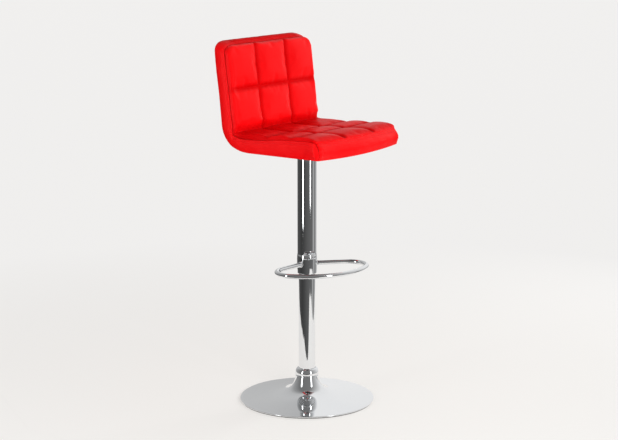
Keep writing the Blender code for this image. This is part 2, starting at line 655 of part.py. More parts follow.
def make_seat_plate():
    half = PLATE_SIZE / 2.0
    plate = add_piece("seat_plate", box_mesh("seat_plate", (-half, -half, PLATE_BOTTOM),
                                             (half, half, PLATE_TOP)), "black_steel")
    length = TRAY_LENGTH / 2.0
    width = TRAY_WIDTH / 2.0
    tray = tool_box("tray_outside", (-length, -width, TRAY_FLOOR_BOTTOM), (length, width, PLATE_TOP - GAP))
    combine(plate, tray, "UNION")
    wall = PLATE_THICKNESS
    hollow = tool_box("tray_inside", (wall - length, wall - width, TRAY_FLOOR_TOP),
                      (length - wall, width - wall, PLATE_TOP + 0.01))
    combine(plate, hollow, "DIFFERENCE")
    hub_hole = tool_cylinder("hub_hole", HUB_RADIUS + GAP, TRAY_FLOOR_BOTTOM - 0.01,
                             TRAY_FLOOR_TOP + 0.005, (0.0, 0.0), ROUND)
    combine(plate, hub_hole, "DIFFERENCE")
    drop = (TRAY_LENGTH / 2.0 - LEVER_PIVOT_X) * math.tan(LEVER_SLOPE)
    slot_half = LEVER_RADIUS + EAR_GAP
    slot = tool_box("lever_slot", (length - 2.0 * wall, -slot_half, LEVER_HEIGHT - drop - LEVER_RADIUS - 0.002),
                    (length + wall, slot_half, PLATE_BOTTOM - 0.0005))
    combine(plate, slot, "DIFFERENCE")
    for index, place in enumerate(screw_places()):
        hole = tool_cylinder("plate_hole_%d" % (index + 1), SCREW_RADIUS + SCREW_HOLE_CLEARANCE,
                             PLATE_BOTTOM - 0.01, PLATE_TOP + 0.01, place, HOLE_ROUND)
        combine(plate, hole, "DIFFERENCE")

    shoulder = min(PRESSURE_TUBE_TOP, HUB_TOP)
    profile = [(hub_bore(HUB_TOP), HUB_TOP), (HUB_RADIUS - 0.0008, HUB_TOP), (HUB_RADIUS, HUB_TOP - 0.0008),
               (HUB_RADIUS, HUB_BOTTOM + 0.0008), (HUB_RADIUS - 0.0008, HUB_BOTTOM),
               (hub_bore(HUB_BOTTOM), HUB_BOTTOM), (hub_bore(TAPER_BOTTOM), max(TAPER_BOTTOM, HUB_BOTTOM + 0.0002)),
               (hub_bore(shoulder), shoulder)]
    turned("plate_hub", "black_steel", profile)


def make_lever():
    # The bracket is a channel: a floor on the tray with an upright ear each side of the lever.
    ear_inside = LEVER_RADIUS + EAR_GAP
    ear_outside = ear_inside + EAR_THICKNESS
    low_x = LEVER_PIVOT_X - EAR_WIDTH / 2.0
    high_x = LEVER_PIVOT_X + EAR_WIDTH / 2.0
    bottom = TRAY_FLOOR_TOP + GAP
    top = PLATE_BOTTOM - GAP
    bracket = add_piece("lever_bracket", box_mesh("lever_bracket", (low_x, -ear_outside, bottom),
                                                  (high_x, ear_outside, top)), "black_steel")
    channel = tool_box("bracket_channel", (low_x - 0.01, -ear_inside, bottom + 0.0015),
                       (high_x + 0.01, ear_inside, top + 0.01))
    combine(bracket, channel, "DIFFERENCE")
    pin_place = (LEVER_PIVOT_X, 0.0, LEVER_HEIGHT)
    bore = tool_cylinder("pivot_bore", PIVOT_PIN_RADIUS + GAP, -0.02, 0.02, (0.0, 0.0), HOLE_ROUND)
    bore.location = pin_place
    bore.rotation_euler = (math.pi / 2.0, 0.0, 0.0)
    combine(bracket, bore, "DIFFERENCE")

    half = ear_outside + 0.0008
    profile = [(0.0, half), (PIVOT_PIN_RADIUS, half), (PIVOT_PIN_RADIUS, -half), (0.0, -half)]
    pin = turned("lever_pivot_pin", "steel", profile, False, HOLE_ROUND)
    pin.location = pin_place
    pin.rotation_euler = (math.pi / 2.0, 0.0, 0.0)

    # The lever turns about an empty on the pivot, and is built around it.
    pivot = bpy.data.objects.new("lever_pivot", None)
    parts.objects.link(pivot)
    pivot.location = pin_place
    tail = LEVER_PIVOT_X + LEVER_ARM_OVERHANG
    lever = add_piece("lever_rod", box_mesh("lever_rod", (-tail, -LEVER_RADIUS, -LEVER_RADIUS),
                                            (LEVER_RADIUS, LEVER_RADIUS, LEVER_RADIUS)), "steel")
    lever.parent = pivot
    length = (LEVER_REACH - LEVER_PIVOT_X) / math.cos(LEVER_SLOPE)
    bar = tool_cylinder("lever_bar", LEVER_RADIUS, 0.0, length, (0.0, 0.0), SMALL_ROUND)
    bar.location = Vector(pin_place) + Vector((math.cos(LEVER_SLOPE), 0.0, -math.sin(LEVER_SLOPE))) * length / 2.0
    bar.rotation_euler = (0.0, math.pi / 2.0 + LEVER_SLOPE, 0.0)
    combine(lever, bar, "UNION")
    combine(lever, bore, "DIFFERENCE")

    start = length - GRIP_LENGTH + 0.004
    sleeve_bore = LEVER_RADIUS + GAP
    end = start + GRIP_LENGTH
    floor = length + GAP
    nose = arc((GRIP_RADIUS - 0.003, end - 0.003), 0.003, math.pi / 2.0, 0.0, 3)
    profile = [(0.0, end)] + nose + [(GRIP_RADIUS, start + 0.006), (GRIP_RADIUS - 0.0015, start),
                                     (sleeve_bore, start), (sleeve_bore, floor), (0.0, floor)]
    grip = turned("lever_grip", "black_plastic", profile, False, SMALL_ROUND)
    grip.parent = pivot
    grip.rotation_euler = (0.0, math.pi / 2.0 + LEVER_SLOPE, 0.0)


def make_fasteners():
    head_top = PLATE_BOTTOM - GAP
    head_bottom = head_top - SCREW_HEAD_HEIGHT
    tip = PLY_BOTTOM + SCREW_ENGAGEMENT
    socket_floor = head_bottom + 0.0018
    screw_profile = [(0.0, tip), (SCREW_RADIUS - 0.0005, tip), (SCREW_RADIUS, tip - 0.0005),
                     (SCREW_RADIUS, head_top), (SCREW_HEAD_RADIUS, head_top),
                     (SCREW_HEAD_RADIUS, head_top - 0.0010), (SCREW_HEAD_RADIUS - 0.0018, head_bottom),
                     (SCREW_SOCKET_RADIUS, head_bottom), (SCREW_SOCKET_RADIUS, socket_floor),
                     (0.0, socket_floor)]
    bore = SCREW_RADIUS + GAP
    barrel = bore + TEE_NUT_BARREL_WALL
    nut_top = PLY_TOP - GAP
    nut_profile = [(bore, nut_top), (TEE_NUT_FLANGE_RADIUS, nut_top),
                   (TEE_NUT_FLANGE_RADIUS, nut_top - TEE_NUT_FLANGE), (barrel, nut_top - TEE_NUT_FLANGE),
                   (barrel, nut_top - TEE_NUT_LENGTH), (bore, nut_top - TEE_NUT_LENGTH)]
    for index, (x, y) in enumerate(screw_places()):
        screw = turned("seat_screw_%d" % (index + 1), "steel", screw_profile, False, HOLE_ROUND)
        screw.location = (x, y, 0.0)
        nut = turned("tee_nut_%d" % (index + 1), "steel", nut_profile, True, HOLE_ROUND)
        nut.location = (x, y, 0.0)


# Seat and back

RUN_OUT = 0.050               # how far an outline runs past the faces that trim it
BEND_STEPS = 8


def rear_bend_centre():
    """Centre of the bend between the seat's underside and the back's rear face."""
    across = Vector((-math.cos(BACK_RECLINE), math.sin(BACK_RECLINE)))
    along = Vector((math.sin(BACK_RECLINE), math.cos(BACK_RECLINE)))
    start = Vector(BACK_REAR_POINT) + across * REAR_BEND_RADIUS
    travel = (SEAT_BOTTOM + REAR_BEND_RADIUS - start.y) / along.y
    return start + along * travel


def inner_bend_centre():
    """Centre of the bend between the seat's top and the back's front face."""
    across = Vector((-math.cos(BACK_RECLINE), math.sin(BACK_RECLINE)))
    along = Vector((math.sin(BACK_RECLINE), math.cos(BACK_RECLINE)))
    start = Vector(BACK_REAR_POINT) + across * (BACK_THICKNESS + INNER_BEND_RADIUS)
    travel = (SEAT_TOP + INNER_BEND_RADIUS - start.y) / along.y
    return start + along * travel


def bend_path(centre, radius, share):
    """An L in the (y, z) plane: along the seat, round a bend, and up the back.

    share is "seat", "back" or "whole". Seat and back part at the middle of the bend.
    """
    first = -math.pi / 2.0
    last = -BACK_RECLINE
    middle = (first + last) / 2.0
    parting = GAP / radius
    if share == "seat":
        bend = arc(centre, radius, first, middle - parting, BEND_STEPS // 2)
    elif share == "back":
        bend = arc(centre, radius, middle + parting, last, BEND_STEPS // 2)
    else:
        bend = arc(centre, radius, first, last, BEND_STEPS)
    front = [(SEAT_CORNER_Y - SEAT_BOW - RUN_OUT, bend[0][1])]
    climb = (BACK_TOP + RUN_OUT - bend[-1][1]) * math.tan(BACK_RECLINE)
    top = [(bend[-1][0] + climb, BACK_TOP + RUN_OUT)]
    if share == "seat":
        return front + bend
    if share == "back":
        return bend + top
    return front + bend + top


def rear_path(depth, share="whole"):
    """The seat's underside and the back's rear face, moved inward by a depth."""
    return bend_path(rear_bend_centre(), REAR_BEND_RADIUS - depth, share)


def face_path(depth, share="whole"):
    """The seat's top and the back's front face, moved inward by a depth."""
    return bend_path(inner_bend_centre(), INNER_BEND_RADIUS + depth, share)


def front_outline(inset):
    """The stool from the front: straight sides and a top with rounded corners."""
    half = SEAT_WIDTH / 2.0 - inset
    top = BACK_TOP - inset
    radius = BACK_CORNER_RADIUS - inset
    bottom = SEAT_BOTTOM - RUN_OUT
    right = arc((half - radius, top - radius), radius, 0.0, math.pi / 2.0, 8)
    return [(half, bottom)] + right + [(-x, z) for x, z in reversed(right)] + [(-half, bottom)]


def plan_outline(inset):
    """The seat's lower edge from above: a bowed front with small rounded corners."""
    half = SEAT_WIDTH / 2.0
    bow_radius = (half ** 2 + SEAT_BOW ** 2) / (2.0 * SEAT_BOW)
    centre = Vector((0.0, SEAT_CORNER_Y - SEAT_BOW + bow_radius))
    bow_radius -= inset
    side = half - inset
    corner = SEAT_CORNER_RADIUS - inset
    corner_x = side - corner
    corner_centre = Vector((corner_x, centre.y - math.sqrt((bow_radius - corner) ** 2 - corner_x ** 2)))
    meets = math.atan2(corner_centre.y - centre.y, corner_x)
    bow = arc(centre, bow_radius, -math.pi / 2.0, meets, 8)
    turn = arc(corner_centre, corner, meets, 0.0, 4)
    rear = BACK_REAR_POINT[0] + RUN_OUT * 3.0
    right = bow + turn[1:] + [(side, rear)]
    return right + [(-x, y) for x, y in reversed(right[1:])]


def trim_tools(label, inset):
    """Boolean tools that give a piece the stool's outline from the front and from above."""
    front = outline_solid("front_" + label, "red_leather", front_outline(inset), 1.0, "front")
    height = BACK_TOP - SEAT_BOTTOM + 2.0 * RUN_OUT
    plan = outline_solid("plan_" + label, "red_leather", plan_outline(inset), height, "plan",
                         SEAT_BOTTOM - RUN_OUT + height / 2.0)
    lean = Matrix.Identity(4)
    lean[1][2] = FRONT_SLANT
    to_edge = Matrix.Translation((0.0, 0.0, SEAT_BOTTOM))
    plan.data.transform(plan.matrix_world)
    plan.matrix_world = Matrix.Identity(4)
    plan.data.transform(to_edge @ lean @ to_edge.inverted())
    return make_cutter(front), make_cutter(plan)


def trimmed(name, finish, outline, tools):
    """A seat piece: a side outline run right across, trimmed from the front and from above."""
    piece = outline_solid(name, finish, outline, SEAT_WIDTH + RUN_OUT, "side")
    for tool in tools:
        combine(piece, tool, "INTERSECT")
    return piece


def strip(first, second):
    """The closed outline between two paths that run the same way."""
    return first + second[::-1]


def make_seat():
    outside = trim_tools("outside", 0.0)
    inside = trim_tools("inside", SKIN + GAP)
    core = outline_solid("core", "red_leather", front_outline(SKIN), 1.0, "front")
    core_plan = trim_tools("core_plan", SKIN)[1]
    combine(core, core_plan, "INTERSECT")
    make_cutter(core)

    # Cover
    trimmed("quilted_panel", "red_leather", strip(face_path(QUILT), face_path(0.0)), outside)
    band = trimmed("boxing_band", "red_leather", strip(rear_path(0.0), face_path(QUILT + GAP)), outside)
    combine(band, core, "DIFFERENCE")
    bend = rear_bend_centre()
    trimmed("rear_panel", "red_leather", strip(rear_path(0.0)[1:], rear_path(SKIN)[1:]), inside)
    cloth = [(SEAT_CORNER_Y - SEAT_BOW - RUN_OUT, SEAT_BOTTOM), (bend.x - GAP, SEAT_BOTTOM),
             (bend.x - GAP, SEAT_BOTTOM + DUST_COVER),
             (SEAT_CORNER_Y - SEAT_BOW - RUN_OUT, SEAT_BOTTOM + DUST_COVER)]
    dust_cover = trimmed("dust_cover", "dust_cloth", cloth, inside)

    # Shell and foam
    shell_depth = SKIN + GAP
    foam_depth = shell_depth + PLY + GAP
    shell = trimmed("seat_shell", "plywood", strip(rear_path(shell_depth), rear_path(shell_depth + PLY)),
                    inside)
    for share in ("seat", "back"):
        outline = strip(rear_path(foam_depth, share), face_path(QUILT + GAP, share))
        trimmed(share + "_foam", "foam", outline, inside)

    barrel_hole = SCREW_RADIUS + TEE_NUT_BARREL_WALL + 2.0 * GAP
    for index, place in enumerate(screw_places()):
        number = str(index + 1)
        cloth_hole = tool_cylinder("cloth_hole_" + number, SCREW_RADIUS + SCREW_HOLE_CLEARANCE,
                                   SEAT_BOTTOM - 0.005, SEAT_BOTTOM + 0.005, place, HOLE_ROUND)
        combine(dust_cover, cloth_hole, "DIFFERENCE")
        nut_hole = tool_cylinder("nut_hole_" + number, barrel_hole, PLY_BOTTOM - 0.005, PLY_TOP + 0.005,
                                 place, HOLE_ROUND)
        combine(shell, nut_hole, "DIFFERENCE")
        recess = tool_cylinder("nut_recess_" + number, TEE_NUT_FLANGE_RADIUS + GAP,
                               PLY_TOP - TEE_NUT_FLANGE - 2.0 * GAP, PLY_TOP + 0.005, place, HOLE_ROUND)
        combine(shell, recess, "DIFFERENCE")


clear_scene()
parts, cutters = make_collections()
make_base()
make_standing_tube()
make_thrust_bearing()
make_gas_spring()
make_cover_tube()
make_footrest()
make_seat_plate()
make_lever()
make_fasteners()
make_seat()
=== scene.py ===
import math

import bmesh
import bpy
import numpy as np
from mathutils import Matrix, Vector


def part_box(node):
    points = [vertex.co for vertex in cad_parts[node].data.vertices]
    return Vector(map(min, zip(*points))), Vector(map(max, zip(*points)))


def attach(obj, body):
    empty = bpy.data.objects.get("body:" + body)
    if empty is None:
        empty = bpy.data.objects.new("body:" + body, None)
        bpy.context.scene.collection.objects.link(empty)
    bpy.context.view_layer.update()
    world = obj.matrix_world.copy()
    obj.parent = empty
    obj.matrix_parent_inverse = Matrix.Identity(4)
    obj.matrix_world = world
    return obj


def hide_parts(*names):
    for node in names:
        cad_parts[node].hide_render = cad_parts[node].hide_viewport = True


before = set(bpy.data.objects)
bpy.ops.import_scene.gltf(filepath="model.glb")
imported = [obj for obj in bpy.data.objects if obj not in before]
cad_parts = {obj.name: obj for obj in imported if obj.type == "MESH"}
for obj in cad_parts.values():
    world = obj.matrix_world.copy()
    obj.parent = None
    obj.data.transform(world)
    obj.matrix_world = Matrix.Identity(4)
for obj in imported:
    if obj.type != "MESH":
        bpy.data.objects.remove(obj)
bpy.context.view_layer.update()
print("frame loaded:", len(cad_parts), "nodes")

# Small tools.


def gridFaces(rows, cols, closedRows=False, closedCols=False):
    # Four-cornered faces of a rows x cols grid of points, numbered row by row.
    r = np.arange(rows if closedRows else rows - 1)[:, None]
    c = np.arange(cols if closedCols else cols - 1)[None, :]
    nextR, nextC = (r + 1) % rows, (c + 1) % cols
    return np.stack([r * cols + c, r * cols + nextC, nextR * cols + nextC, nextR * cols + c],
                    axis=-1).reshape(-1, 4)


def facesOutward(points, faces):
    # The signed volume of a closed shell is positive when its faces point outwards.
    a, b, c, d = (points[faces[:, i]] for i in range(4))
    volume = np.einsum("ij,ij->i", a, np.cross(b, c) + np.cross(c, d)).sum()
    return faces if volume > 0 else faces[:, ::-1]


def joinShapes(shapes):
    # Several (points, faces) as one: the faces of each count on from the points before it.
    before = np.cumsum([0] + [len(points) for points, faces in shapes])
    return (np.concatenate([points for points, faces in shapes]),
            np.concatenate([faces + count for (points, faces), count in zip(shapes, before)]))


def weld(mesh, tidyFlats=False):
    # Points that fall together become one, and triangles of one plane can become one face.
    shape = bmesh.new()
    shape.from_mesh(mesh)
    bmesh.ops.remove_doubles(shape, verts=shape.verts, dist=2e-6)
    if tidyFlats:
        bmesh.ops.dissolve_limit(shape, angle_limit=math.radians(1.0), verts=shape.verts,
                                 edges=shape.edges)
    shape.to_mesh(mesh)
    shape.free()


def makeMesh(name, points, faces, merge=False):
    mesh = bpy.data.meshes.new(name)
    mesh.vertices.add(len(points))
    mesh.vertices.foreach_set("co", np.asarray(points, np.float32).ravel())
    mesh.loops.add(faces.size)
    mesh.loops.foreach_set("vertex_index", faces.astype(np.int32).ravel())
    mesh.polygons.add(len(faces))
    mesh.polygons.foreach_set("loop_start", np.arange(0, faces.size, faces.shape[1], np.int32))
    mesh.update(calc_edges=True)
    mesh.shade_smooth()
    if merge:
        weld(mesh)
    mesh.validate()
    return mesh


def addPiece(mesh, material, body, slot, *replaced):
    piece = bpy.data.objects.new(mesh.name, mesh)
    bpy.context.scene.collection.objects.link(piece)
    mesh.materials.clear()
    mesh.materials.append(material)
    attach(piece, body)
    if replaced:
        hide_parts(*replaced)
    return piece


def addSkin(piece, thickness):
    # A wall that grows inwards from the surface.
    skin = piece.modifiers.new("skin", "SOLIDIFY")
    skin.thickness, skin.offset = thickness, -1


def filletProfile(corners):
    # Corners are (radius, height, fillet, steps), and each fillet is a quadratic curve between
    # points at the fillet's distance from its corner.
    flat = np.array([corner[:2] for corner in corners], float)
    before, after = np.roll(flat, 1, axis=0), np.roll(flat, -1, axis=0)
    points = []
    for corner, here, last, following in zip(corners, flat, before, after):
        if not corner[2]:
            points.append(here[None])
            continue
        toLast, toNext = last - here, following - here
        start = here + toLast / np.linalg.norm(toLast) * corner[2]
        end = here + toNext / np.linalg.norm(toNext) * corner[2]
        t = np.linspace(0, 1, corner[3])[:, None]
        points.append((1 - t) ** 2 * start + 2 * t * (1 - t) * here + t ** 2 * end)
    return np.concatenate(points)


def turnedPiece(name, node, body, segments, profile, sharp=50, material=None, slot="chrome"):
    # A closed profile of (radius, height) carried round the column's axis.
    angle = ringAngles(segments)[:, None]
    radius, height = profile[:, 0][None], profile[:, 1][None]
    points = np.stack([radius * np.cos(angle), radius * np.sin(angle),
                       np.broadcast_to(height, (segments, len(profile)))], -1).reshape(-1, 3)
    faces = facesOutward(points, gridFaces(segments, len(profile), True, True))
    mesh = makeMesh(name, points, faces)
    addPiece(mesh, material or tubeChrome, body, slot, node)
    if sharp:
        mesh.set_sharp_from_angle(angle=math.radians(sharp))


def ringAngles(count):
    return np.linspace(0, 2 * np.pi, count, endpoint=False)


def hump(distance, width, power=2):
    # 1 where the distance is nought, and falling to 0 on both sides.
    return np.exp(-np.abs(distance / width) ** power)


def unit(value):
    return np.clip(value, 0, 1)


def lengthAlong(line):
    return np.concatenate([[0], np.cumsum(np.linalg.norm(np.diff(line, axis=0), axis=1))])


def normalized(vectors):
    return vectors / np.linalg.norm(vectors, axis=-1)[..., None]


def waves(rng, lines, low, high, count):
    # The mean of some sines along one line or a slanting mix of two, with drawn pitches.
    return sum(np.sin(sum(line * rng.uniform(low, high) for line in lines) + rng.uniform(0, 6.3))
               for number in range(count)) / count


# Materials.


class Graph:
    # The nodes of a material or of the world, with short ways to add the kinds used here.
    def __init__(self, owner, shader, coordinates):
        owner.use_nodes = True
        self.owner, tree = owner, owner.node_tree
        self.nodes, self.links, self.shader = tree.nodes, tree.links, tree.nodes[shader]
        self.place = self.add("TexCoord").outputs[coordinates]

    def put(self, socket, value):
        if isinstance(value, bpy.types.NodeSocket):
            self.links.new(value, socket)
        elif socket.type == "RGBA":
            socket.default_value = (*value, 1)
        else:
            socket.default_value = value

    def add(self, kind, inputs=None, **settings):
        node = self.nodes.new("ShaderNode" + kind)
        for name, value in settings.items():
            setattr(node, name, value)
        for name, value in (inputs or {}).items():
            self.put(node.inputs[name], value)
        return node

    def feed(self, **sockets):
        for name, value in sockets.items():
            self.put(self.shader.inputs[name.replace("_", " ")], value)

    def noise(self, scale, detail=3.0, roughness=0.5, stretch=None):
        place = self.place
        if stretch:
            place = self.add("Mapping", {"Vector": place, "Scale": stretch}).outputs["Vector"]
        return self.add("TexNoise", {"Vector": place, "Scale": scale, "Detail": detail,
                                     "Roughness": roughness}).outputs["Fac"]

    def span(self, value, low, high, fromLow=0.0, fromHigh=1.0):
        return self.add("MapRange", {"Value": value, "From Min": fromLow, "From Max": fromHigh,
                                     "To Min": low, "To Max": high}).outputs["Result"]

    def math(self, operation, *values):
        return self.add("Math", dict(enumerate(values)), operation=operation).outputs[0]

    def length(self, vector):
        return self.add("VectorMath", {0: vector}, operation="LENGTH").outputs["Value"]

    def mix(self, share, first, second):
        return self.add("Mix", {"Factor": share, 6: first, 7: second}, data_type="RGBA").outputs[2]

    def bump(self, height, strength, distance):
        self.feed(Normal=self.add("Bump", {"Height": height, "Strength": strength,
                                           "Distance": distance}).outputs["Normal"])


def newMaterial(name, color, roughness, metallic=0.0, **sockets):
    graph = Graph(bpy.data.materials.new(name), "Principled BSDF", "Object")
    graph.feed(Base_Color=color, Roughness=roughness, Metallic=metallic, **sockets)
    return graph


leather = {
    "color": (0.90, 0.0022, 0.0040),
    "worn": (0.95, 0.0060, 0.0080),     # where the colour has rubbed a little paler
    "paintedShade": (0.50, 0.0006, 0.0010),     # painted shade: colour in the channels, seams and stitch grooves, under the back, on the front's roll, the band's top and the seat top
    "wornScale": 13.0,
    "roughness": (0.36, 0.50),
    "sheen": (0.105, 0.02),             # on the cells, and where the painted shade is deepest
    "poreScale": 520.0,
    "grainScale": 820.0,
    "grain": 0.10,
    "creaseScale": 95.0,
    "creaseShare": 2.2,
}


def leatherMaterial(name):
    # Colour darkens towards the painted shade colour, and gloss falls, where the cover's painted shade
    # mask is high. The grain is rounded cells, pores and fine creases.
    graph = newMaterial(name, leather["color"], 0.42, Specular_IOR_Level=leather["sheen"][0])
    worn = graph.span(graph.noise(leather["wornScale"], 4.0, 0.6), 0.0, 1.0, 0.42, 0.72)
    color = graph.mix(worn, leather["color"], leather["worn"])
    # This attribute is the painted shade mask that the cover carries on its points.
    depth = graph.add("Attribute", attribute_name="paintedShadeAmount").outputs["Fac"]
    graph.feed(Base_Color=graph.mix(depth, color, leather["paintedShade"]),
               Specular_IOR_Level=graph.span(depth, *leather["sheen"], 0.0, 0.6),
               Roughness=graph.span(graph.noise(240.0, 2.0), *leather["roughness"], 0.3, 0.7))
    cells = graph.add("TexVoronoi", {"Vector": graph.place, "Scale": leather["grainScale"],
                                     "Smoothness": 0.6}, feature="SMOOTH_F1").outputs["Distance"]
    grain = graph.math("ADD", cells, graph.noise(leather["poreScale"], 3.0, 0.6))
    creases = graph.noise(leather["creaseScale"], 3.0, 0.55)
    height = graph.math("MULTIPLY_ADD", creases, leather["creaseShare"], grain)
    graph.bump(height, leather["grain"], 0.0012)
    return graph.owner


chrome = {
    "color": (0.86, 0.87, 0.89),
    "tints": ((0.83, 0.845, 0.865), (0.90, 0.905, 0.91)),
    "roughness": (0.035, 0.085),
    "spin": 0.010,                      # strength of a spun piece's rings
    "ringScale": 900.0,
    "fine": 0.006,
}


def chromeMaterial(name, spun=False):
    # Plated steel: faint haze, and on a spun piece fine rings that run round the axis.
    graph = newMaterial(name, chrome["color"], 0.05, 1.0)
    haze = graph.noise(24.0, 5.0, 0.65)
    graph.feed(Roughness=graph.span(haze, *chrome["roughness"], 0.35, 0.7),
               Base_Color=graph.mix(graph.noise(7.0, 2.0), *chrome["tints"]))
    if spun:
        flat = graph.add("VectorMath", {0: graph.place, 1: (1, 1, 0)}, operation="MULTIPLY")
        rings = graph.add("TexNoise", {"W": graph.length(flat.outputs["Vector"]), "Detail": 2.0,
                                       "Scale": chrome["ringScale"]}, noise_dimensions="1D")
        height = graph.math("MULTIPLY_ADD", graph.noise(9.0, 1.0), 30.0, rings.outputs["Fac"])
        graph.bump(height, chrome["spin"], 0.0004)
    else:
        graph.bump(graph.noise(320.0, 2.0), chrome["fine"], 0.0004)
    return graph.owner


def grainyMaterial(name, color, variation, roughness, scale, bump, metallic=0.0, stretch=None,
                   **sockets):
    # A base colour that drifts to a second one, uneven gloss and a fine bump of one grain size.
    low, high = roughness
    graph = newMaterial(name, color, (low + high) / 2, metallic, **sockets)
    fine = graph.noise(scale, 3.0, 0.6, stretch)
    graph.feed(Base_Color=graph.mix(graph.noise(scale / 9, 4.0, 0.6, stretch), color, variation),
               Roughness=graph.span(fine, low, high, 0.3, 0.7))
    graph.bump(fine, bump, 0.0005)
    return graph.owner


def wovenMaterial(name, color, dark, pitch):
    # Spun-bonded cloth: two crossing waves of fibre with noise between them.
    graph = newMaterial(name, color, 0.9, Sheen_Weight=0.25, Sheen_Roughness=0.6)
    threads = [graph.add("TexWave", {"Vector": graph.place, "Scale": pitch, "Distortion": 1.5,
                                     "Detail": 1.0}, bands_direction=direction).outputs["Fac"]
               for direction in ("X", "Y")]
    fuzz = graph.noise(700.0, 4.0, 0.7)
    graph.feed(Base_Color=graph.mix(fuzz, dark, color))
    graph.bump(graph.math("ADD", graph.math("ADD", *threads), fuzz), 0.35, 0.0004)
    return graph.owner


redLeather = leatherMaterial("quiltedLeather")
bandLeather = leatherMaterial("bandLeather")
spunChrome = chromeMaterial("spunChrome", True)
tubeChrome = chromeMaterial("tubeChrome")

# Name: colour, the colour it drifts to, roughness from and to, grain scale, bump, metallic.
threadRed, plainSteel, castIron, brass, rubber, plastic, foamFill = (
    grainyMaterial(*row) for row in [
        ("redThread", (0.86, 0.020, 0.026), (0.92, 0.045, 0.050), (0.45, 0.65), 1800.0, 0.5),
        ("zincedSteel", (0.50, 0.51, 0.53), (0.66, 0.66, 0.65), (0.22, 0.42), 500.0, 0.10, 1.0),
        ("castIron", (0.045, 0.043, 0.042), (0.10, 0.075, 0.06), (0.6, 0.85), 260.0, 0.7, 0.7),
        ("brass", (0.62, 0.44, 0.17), (0.78, 0.60, 0.30), (0.2, 0.4), 420.0, 0.1, 1.0),
        ("blackRubber", (0.013, 0.013, 0.014), (0.030, 0.029, 0.028), (0.7, 0.9), 650.0, 0.4),
        ("blackPlastic", (0.014, 0.014, 0.015), (0.024, 0.024, 0.026), (0.28, 0.42), 1100.0, 0.25),
        ("cushionFoam", (0.78, 0.70, 0.42), (0.84, 0.78, 0.55), (0.85, 1.0), 600.0, 0.8)])
blackPaint = grainyMaterial("blackPowderCoat", (0.018, 0.018, 0.019), (0.032, 0.032, 0.034),
                            (0.38, 0.55), 900.0, 0.35, Specular_IOR_Level=0.45)
nylon = grainyMaterial("whiteNylon", (0.72, 0.71, 0.66), (0.80, 0.79, 0.76), (0.35, 0.5), 300.0,
                       0.12, Subsurface_Weight=0.1)
plywood = grainyMaterial("bentPlywood", (0.42, 0.25, 0.12), (0.66, 0.47, 0.28), (0.5, 0.7), 90.0,
                         0.25, stretch=(1, 12, 1))
clothBlack = wovenMaterial("dustCloth", (0.030, 0.030, 0.032), (0.008, 0.008, 0.009), 420.0)

slotFinish = {
    "chrome": tubeChrome, "steel": plainSteel, "black_steel": blackPaint, "cast_iron": castIron,
    "brass": brass, "rubber": rubber, "nylon": nylon, "black_plastic": plastic,
    "red_leather": redLeather, "foam": foamFill, "plywood": plywood, "dust_cloth": clothBlack,
}

# A CAD node's material bears the name of its slot, and gets that slot's finish here.
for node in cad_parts.values():
    for slot in node.material_slots:
        slot.material = slotFinish[slot.material.name.split(".")[0]]
print("materials ready")

# Base and column.

base = {
    "segments": 160,
    "slope": 0.100,          # rise of the dish per unit of radius
    "spread": 0.0209,        # the larger, the softer the trumpet's flare
    "wall": 0.0016,
    "rings": 46,
    "rimRound": 0.0011,
    "rimHeight": 0.0026,
    "rimFlat": 0.0024,       # the flare ends this far inside the rim
    "tuck": 0.0020,          # the trumpet's neck goes this far under the collar
}


